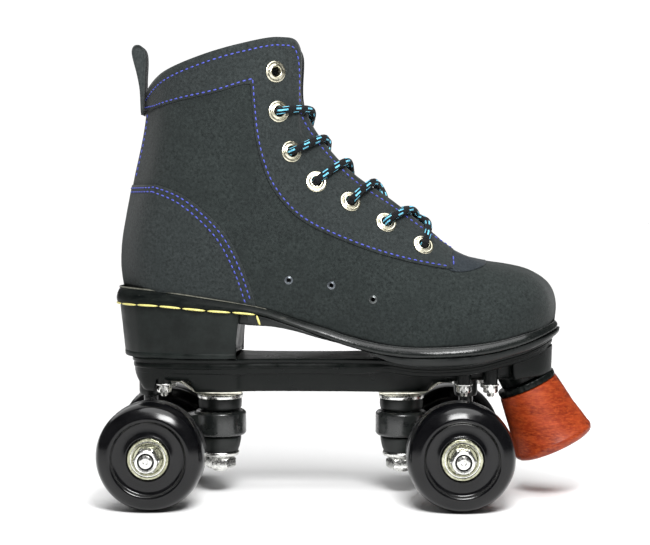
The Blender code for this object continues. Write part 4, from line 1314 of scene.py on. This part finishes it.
def build_plate():
    top = [(-129, PLATE_TOP), (2.0, PLATE_TOP), (9.0, PLATE_TOP), (17.0, PLATE_TOP)]
    top += [(x, z - GAP) for x, z in SOLE_LINE if 20 < x < 118]
    flange = [(-121.4, 0), (-120.9, 8), (-118, 15.6), (-111.5, 21.4), (-100, 25.6), (-76, 27.4), (-62, 26.8),
              (-50, 22.6), (-10, 22), (18, 27), (40, 31), (66, 31.5), (88, 27), (104, 19),
              (112.2, 8), (112.6, 0)]
    lip = [(-4, 0.0), (-1.5, 0.0), (-1.0, 0.06), (-0.9, 0.34), (-0.35, 0.40), (-0.3, 0.60), (-0.6, 0.66),
           (-0.55, 0.72), (0.2, 0.76), (0.35, 0.82), (0.3, 0.95), (-0.2, 1.0), (-4, 1.0)]
    under = [(x, z - 8.4 + 2.4 * ease((x - 2) / 26)) for x, z in top]
    upper = banded_slab("plate_flange", plate_loop(flange), lip, under, top, NYLON)
    spine = [(-120.2, 0), (-119.8, 8), (-117, 15.0), (-110.5, 20.4), (-100, 24.3), (-76, 25.8), (-64, 24.8),
             (-52, 20.2), (-10, 19.6), (18, 21.0), (36, 19), (50, 15.4), (84, 15), (91, 19), (104, 16),
             (111.6, 8), (112.3, 0)]
    lower = [(-127, 71.0), (-119.9, 69.2), (-114.2, 61.6), (-112.8, 60.6), (-107.2, 60.4),
             (-106.2, 66.2), (-87.6, 66.2), (-86.4, 60.2), (43, PLATE_UNDERSIDE), (45, 64.5),
             (84, 66.5), (88, 66.5), (112.3, 69)]
    wall_edge = [(-6, 0.0), (-1.2, 0.0), (-0.5, 0.05), (-0.15, 0.14), (0.0, 0.3), (0.3, 0.86), (-4, 1.0)]
    body = banded_slab("plate_spine", plate_loop(spine, 8), wall_edge, lower, shifted(top, -3.0), NYLON)
    for axle_x, _, out in TRUCKS.values():
        profile = [(0, 50), (PIVOT_POCKET_R, 50), (PIVOT_POCKET_R, PIVOT_POCKET_TOP),
                   (0, PIVOT_POCKET_TOP)]
        spot = upright(axle_x + out * PIVOT_REACH)
        boolean(body, lathe("pivot_pocket", profile, NYLON, spot, 64, closed=False), 'DIFFERENCE')
    body.data.set_sharp_from_angle(angle=math.radians(40))
    parts = [upper, body]
    for name, x in BOLTS.items():
        for side in (-1, 1):
            roof = interpolate(top, x) - 2.0
            profile = rounded([(0, 64.0), (3.9, 64.0), (4.0, roof), (0, roof)], 0.8, closed=False)
            spot = upright(x, side * BOLT_Y)
            parts.append(lathe(f"boss_{name}_{side}", profile, NYLON, spot, 48, closed=False))
    for _, ring_x, _ in reversed(TRUCKS.values()):
        profile = rounded([(0, 59.9), (14.4, 59.9), (15.2, 67), (0, 67)], 0.8, closed=False)
        parts.append(lathe(f"seat_{ring_x:g}", profile, NYLON, upright(ring_x), 64, closed=False))
    stop_profile = rounded([(STEM_R + 0.4, 4.2), (13.5, 4.2), (13.9, 17.0), (STEM_R + 0.4, 17.0)], 0.8)
    parts.append(lathe("stop_boss", stop_profile, NYLON, stop_matrix(), 48))
    plate = join("plate_body", parts)
    settle(plate, "root", "sole_plate", slot="nylon")


def stop_matrix():
    """Placement on the toe stop's axis, z = 0 at the rubber's top."""
    lean = Matrix.Rotation(-STOP_LEAN, 4, 'Y')
    return Matrix.Translation((STOP_TOP[0], 0.0, STOP_TOP[1])) @ lean


def hex_above(radius):
    """Six-sided wherever the profile is wider than radius."""
    return lambda r: r > radius


def build_bolts():
    for name, x in BOLTS.items():
        for side, label in ((-1, "right"), (1, "left")):
            node = f"plate_bolt_{name}_{label}"
            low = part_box(node)[0].z / MM - BOLT_TIP_DROP
            nut = [(2.4, low + 2.2), (3.6, low + 2.2), (4.1, low + 2.8), (4.1, low + 5.6),
                   (3.7, low + 6.2), (2.4, low + 6.2)]
            shank = [(0, low), (1.5, low), (2.1, low + 0.7), (2.1, low + 12), (0, low + 12)]
            for k in range(4):
                z = low + 0.9 + 0.45 * k
                shank[3 + 2 * k:3 + 2 * k] = [(1.8, z), (2.1, z + 0.2)]
            spot = upright(x, side * BOLT_Y)
            parts = [lathe("nut", nut, ZINC, spot, 48, hexed=hex_above(3.9)),
                     lathe("shank", shank, ZINC, spot, 32, closed=False),
                     lathe("washer", rounded([(2.3, low + 6.15), (4.7, low + 6.15), (4.7, low + 6.9),
                                              (2.3, low + 6.9)], 0.2), ZINC, spot, 40)]
            settle(join(f"bolt_{name}_{label}", parts), "root", node, slot="zinc")


def build_toe_stop():
    """The rubber block, its threaded stem and the notched lock nut."""
    r_top, r_low = STOP_TOP_R, STOP_BOTTOM_R
    profile = [(STEM_R + 0.4, 0), (r_top - 1.2, 0), (r_top - 0.2, -0.3), (r_top, -1.2),
               (r_top + 1.3, -9.5), (r_top + 2.5, -18), (r_low - 1.7, -25), (r_low - 0.55, 5.6 - STOP_H),
               (r_low - 0.25, 5.0 - STOP_H), (r_low, 4.2 - STOP_H), (r_low, 2.9 - STOP_H),
               (r_low - 0.4, 1.6 - STOP_H), (r_low - 1.3, 0.6 - STOP_H), (r_low - 2.6, 0.05 - STOP_H),
               (r_low - 6, 0.0 - STOP_H), (8.0, 0.5 - STOP_H), (0, 0.7 - STOP_H), (0, -20.4),
               (STEM_R + 0.4, -20.4)]
    spot = stop_matrix()
    turn("stop_block", profile, STOP, spot, 128, "root", "toe_stop_rubber", "stop_rubber", sharp=60)
    thread_rows = [(STEM_R - (0.5 if k % 2 else 0.0), 0.5 + 0.6 * k) for k in range(32)]
    stem = [(0, -20.0), (STEM_R - 0.8, -20.0), (STEM_R, -19.2)] + thread_rows
    stem += [(STEM_R - 0.8, 20.0), (0, 20.0)]
    turn("stop_stem", stem, ZINC, spot, 48, "root", "toe_stop_stem", "zinc", closed=False)
    disc = rounded([(16.6, GAP), (16.8, 2.0), (16.6, 3.7), (STEM_R + 0.4, 3.7), (STEM_R + 0.4, GAP)], 0.5)
    notched = lathe("stop_disc", disc, NYLON, spot, 120)
    for vertex in notched.data.vertices:
        local = spot.inverted() @ (vertex.co / MM)
        notch = math.cos(math.atan2(local.y, local.x) * NOTCHES) > 0.6
        if notch and local.xy.length > 15.5:
            flat = local.xy * (1 - NOTCH_DEPTH)
            vertex.co = (spot @ Vector((flat.x, flat.y, local.z))) * MM
    settle(notched, "root", "toe_stop_lock_nut", slot="nylon")


# ---- trucks
def build_hanger(name, axle_x, ring_x, out):
    """Cast yoke: kingpin ring, arms down to the axle housing, and the pivot pin."""
    pivot_x = axle_x + out * PIVOT_REACH
    web = [(ring_x + out * 11, RING_TOP - 1.5), (ring_x + out * 11, RING_BOTTOM + 1.0),
           (axle_x - out * 3, AXLE_Z - 7), (axle_x + out * 6, AXLE_Z - 2),
           (pivot_x + out * 3.2, AXLE_Z + 9), (pivot_x - out * 4, AXLE_Z + 14)]
    body = prism(f"{name}_web", web, 9.0, CAST)
    ring = lathe("ring", rounded([(RING_R - 1.2, RING_TOP), (RING_R, RING_TOP - 1.3),
                                  (RING_R, RING_BOTTOM + 1.3), (RING_R - 1.2, RING_BOTTOM),
                                  (RING_HOLE_R, RING_BOTTOM), (RING_HOLE_R, RING_TOP)], 0.5, 2),
                 CAST, upright(ring_x), 72)
    barrel = [(6, HOUSING_NECK), (6.6, HOUSING_HALF + 0.2), (HOUSING_R, HOUSING_HALF - 0.6),
              (HOUSING_R, -HOUSING_HALF + 0.6), (6.6, -HOUSING_HALF - 0.2),
              (6, -HOUSING_NECK), (4.1, -HOUSING_NECK), (4.1, HOUSING_NECK)]
    housing = lathe("housing", rounded(barrel, 0.6, 2), CAST, turned_y(axle_x, 0, AXLE_Z), 56)
    pin = lathe("pin", [(0, PIVOT_Z + 4), (2.4, PIVOT_Z + 3.4), (3.8, PIVOT_Z + 1.5), (4.0, PIVOT_Z - 4),
                        (4.4, PIVOT_Z - 9), (5.7, AXLE_Z + 9), (6.4, AXLE_Z + 4), (0, AXLE_Z + 4)],
                CAST, upright(pivot_x), 40, closed=False)
    for other in (ring, housing, pin):
        boolean(body, other, 'UNION')
    bevelled(body, 0.5, 2, 40)
    body.name = f"{name}_yoke"
    settle(body, f"{name}_truck", f"truck_{name}_hanger", slot="cast")


def build_truck(name, axle_x, ring_x, out):
    node = f"truck_{name}"
    build_hanger(name, axle_x, ring_x, out)
    end = AXLE_HALF
    thread_rows = []
    for k in range(10):
        y = end - 1.4 - 0.85 * k
        thread_rows += [(AXLE_R - 0.05, y), (AXLE_R - 0.4, y - 0.42)]
    half = [(0, end - 0.7), (1.1, end - 0.75), (1.5, end - 0.02), (2.6, end), (AXLE_R - 0.3, end - 0.35),
            (AXLE_R, end - 0.9)] + thread_rows + [(AXLE_R, end - 10.5)]
    axle = half + [(r, -y) for r, y in reversed(half)]
    turn(f"{name}_axle_rod", axle, ZINC, turned_y(axle_x, 0, AXLE_Z), 48, f"{name}_truck",
         f"{node}_axle", "zinc", closed=False)
    low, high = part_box(f"{node}_kingpin")
    bottom, top = low.z / MM, high.z / MM
    pin = [(0, bottom), (KINGPIN_R - 0.9, bottom), (KINGPIN_R - 0.1, bottom + 0.9)]
    for k in range(9):
        pin += [(KINGPIN_R - 0.05, bottom + 1.2 + 0.9 * k), (KINGPIN_R - 0.45, bottom + 1.65 + 0.9 * k)]
    pin += [(KINGPIN_R, bottom + 10), (KINGPIN_R, 66.3), (7.6, 66.3), (7.6, top), (0, top)]
    turn(f"{name}_kingpin_bolt", pin, ZINC, upright(ring_x), 48, "root", f"{node}_kingpin", "zinc",
         closed=False)
    build_stack(name, ring_x, out, axle_x)
    for side, label in ((-1, "right"), (1, "left")):
        build_wheel(name, label, axle_x, side)


def build_stack(name, ring_x, out, axle_x):
    """Base strap, cupped washers, cushions and nut round the kingpin, and the pivot cup."""
    node = f"truck_{name}"
    spot = upright(ring_x)
    hole = KINGPIN_R + 0.4
    cup = [(hole, 57.3), (11.6, 57.4), (12.6, 56.9), (12.95, 55.9), (12.8, 54.4), (12.35, 54.35),
           (12.3, 55.3), (11.4, 56.2), (hole, 56.1)]
    turn(f"{name}_cup_top", rounded(cup, 0.4, 2), ZINC, spot, 72, "root", f"{node}_washer_top", "zinc")
    cup = [(hole, 21.3), (8.6, 21.3), (10.2, 22.2), (10.7, 23.4), (10.3, 24.2), (9.95, 24.0),
           (9.7, 23.2), (8.4, 22.6), (hole, 22.6)]
    turn(f"{name}_cup_bottom", rounded(cup, 0.3, 2), ZINC, spot, 72, "root", f"{node}_washer_bottom",
         "zinc")
    nut = [(5.1, 14.8), (7.2, 14.8), (8.3, 15.6), (8.6, 15.8), (8.6, 19.6), (8.2, 20.2), (7.0, 20.9),
           (5.1, 20.9)]
    turn(f"{name}_king_nut", nut, ZINC, spot, 48, "root", f"{node}_kingpin_nut", "zinc",
         hexed=hex_above(8.0))
    strap = []
    for k in range(22):
        x = -13.0 + 41.0 * k / 21
        strap.append((x, 13.0 - 3.0 * ease((x - 6) / 16), 57.75 + 6.3 * ease((x - 10.5) / 13.0)))
    verts = []
    for x, width, z in strap:
        verts += [(ring_x + out * x, -width, z), (ring_x + out * x, width, z),
                  (ring_x + out * x, width, z + 1.9), (ring_x + out * x, -width, z + 1.9)]
    faces = [[0, 1, 2, 3], [len(verts) - 1 - k for k in range(4)]] + strips(len(strap), 4)
    base = bevelled(outward(make_object(f"{name}_base_strap", verts, faces, STRAP)), 0.5, 3)
    settle(base, "root", f"{node}_base", slot="zinc")
    top = [(hole, 55.9), (11.0, 55.9), (11.9, 55.0), (12.15, 53.5), (12.2, 51.5), (12.0, 49.4), (11.4, 48.1),
           (10.6, RING_TOP + 0.3), (hole, RING_TOP + 0.3)]
    cushion = lathe(f"{name}_cushion_upper", rounded(top, 0.4, 2), CUSHION, spot, 72)
    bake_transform(cushion)
    settle(cushion, None, f"{node}_cushion_top", slot="cushion")
    lower = [(hole, RING_BOTTOM - 0.3), (11.0, RING_BOTTOM - 0.3), (11.8, 32.4), (11.7, 30.6),
             (10.9, 27.0), (9.9, 24.4), (9.2, 23.3), (hole, 23.3)]
    cushion = lathe(f"{name}_cushion_lower", rounded(lower, 0.4, 2), CUSHION, spot, 72)
    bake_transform(cushion)
    settle(cushion, None, f"{node}_cushion_bottom", slot="cushion")
    pivot_x = axle_x + out * PIVOT_REACH
    cup = [(0, 66.0), (6.2, 66.0), (6.6, 65.0), (6.6, 58.0), (6.3, 56.6), (5.9, 55.9), (5.2, 55.8),
           (4.7, 56.6), (4.7, 62.6), (0, 62.6)]
    turn(f"{name}_pivot_bush", rounded(cup, 0.3, 2, closed=False), CUSHION, upright(pivot_x), 48, "root",
         f"{node}_pivot_cup", "cushion", closed=False)


def build_wheel(name, label, x, side):
    """A wheel with its two bearings and axle nut; profiles run from the outer face inward."""
    tag = f"{name}_{label}"
    body = f"{name}_{label}_wheel"
    spot = turned_y(x, side * WHEEL_Y, AXLE_Z, side)
    seat = BEARING_R + 0.3
    face = [(seat, 13.9), (seat + 0.15, 14.35), (seat + 0.6, 14.6), (seat + 1.1, 14.45), (12.9, 14.1),
            (14.5, 13.9), (17.2, 13.8), (18.5, 13.95), (19.2, 14.4), (19.7, 15.0), (20.3, 15.5),
            (21.2, 15.75), (22.2, 15.4), (23.4, 14.75), (24.6, 14.05), (25.8, 13.3), (26.8, 12.35),
            (27.7, 10.9), (28.4, 8.9), (28.85, 6.6), (WHEEL_R, 4.2)]
    back = [(r, -z) for r, z in reversed(face)]
    bore = [(seat, -7.3), (9.2, -7.2), (9.2, 7.2), (seat, 7.3)]
    wheel = lathe(f"wheel_{tag}_tyre", face + back + bore, WHEEL, spot, 128, sharp=50)
    wheel.data.materials.append(TREAD)
    tread = [abs((spot.inverted() @ (p.center / MM)).z) < 5.3 for p in wheel.data.polygons]
    wide = [(spot.inverted() @ (p.center / MM)).xy.length > 28.5 for p in wheel.data.polygons]
    wheel.data.polygons.foreach_set("material_index", [int(a and b) for a, b in zip(tread, wide)])
    settle(wheel, body, f"wheel_{tag}", slot="wheel")
    for end_name, offset, sign in (("outer", BEARING_OFFSET, 1), ("inner", -BEARING_OFFSET, -1)):
        middle = turned_y(x, side * (WHEEL_Y + offset), AXLE_Z, side * sign)
        h = BEARING_HALF_W
        race = rounded([(9.35, -h), (BEARING_R - 0.3, -h), (BEARING_R, -h + 0.4), (BEARING_R, h - 0.4),
                        (BEARING_R - 0.3, h), (9.35, h)], 0.2, 2)
        clip = [(9.4, h - 0.5), (9.4, h - 0.2), (8.9, h - 0.12), (8.8, h - 0.5)]
        shield = [(8.9, h - 0.95), (8.9, h - 0.45), (8.2, h - 0.4), (7.7, h - 0.75), (6.3, h - 0.75),
                  (6.0, h - 0.5), (5.9, h - 0.95)]
        core = rounded([(4.1, -h), (5.7, -h), (5.7, h - 0.1), (4.1, h)], 0.25, 2)
        parts = [lathe("race", race, SHIELD, middle, 96), lathe("clip", clip, ZINC, middle, 96),
                 lathe("shield", rounded(shield, 0.12, 2), SHIELD, middle, 96),
                 lathe("core", core, ZINC, middle, 64)]
        back_cover = [(9.35, -h + 0.5), (9.35, -h + 0.9), (5.8, -h + 0.9), (5.8, -h + 0.5)]
        parts.append(lathe("back", back_cover, SHIELD, middle, 96))
        node = f"bearing_{tag}_{end_name}"
        settle(join(f"{node}_set", parts), body, node, slot="bearing")
    low = WHEEL_Y + BEARING_OFFSET + BEARING_HALF_W + GAP
    nut_spot = turned_y(x, side * low, AXLE_Z, side)
    nut = [(3.9, 0.0), (6.3, 0.0), (6.9, 0.5), (NUT_R, 0.75), (NUT_R, NUT_H - 3.2), (6.9, NUT_H - 2.75),
           (6.25, NUT_H - 2.5), (6.2, NUT_H - 1.0), (5.9, NUT_H - 0.35), (5.3, NUT_H),
           (4.5, NUT_H - 0.1), (4.3, NUT_H - 0.6), (3.9, NUT_H - 0.7)]
    obj = lathe(f"nut_{tag}", nut, ZINC, nut_spot, 60, hexed=hex_above(6.6))
    insert = [(3.75, NUT_H - 2.2), (4.45, NUT_H - 2.2), (4.45, NUT_H - 0.55), (3.75, NUT_H - 0.55)]
    obj = join(f"nut_{tag}_set", [obj, lathe("insert", insert, NYLON, nut_spot, 48)])
    settle(obj, f"{name}_truck", f"axle_nut_{tag}", slot="zinc")


# ---- build
build_camera()
build_stage()
eyelet_places = build_upper()
build_tongue()
build_pull_tab()
build_lace(eyelet_places)
build_sole()
build_plate()
build_bolts()
build_toe_stop()
for truck_name, truck_places in TRUCKS.items():
    build_truck(truck_name, *truck_places)
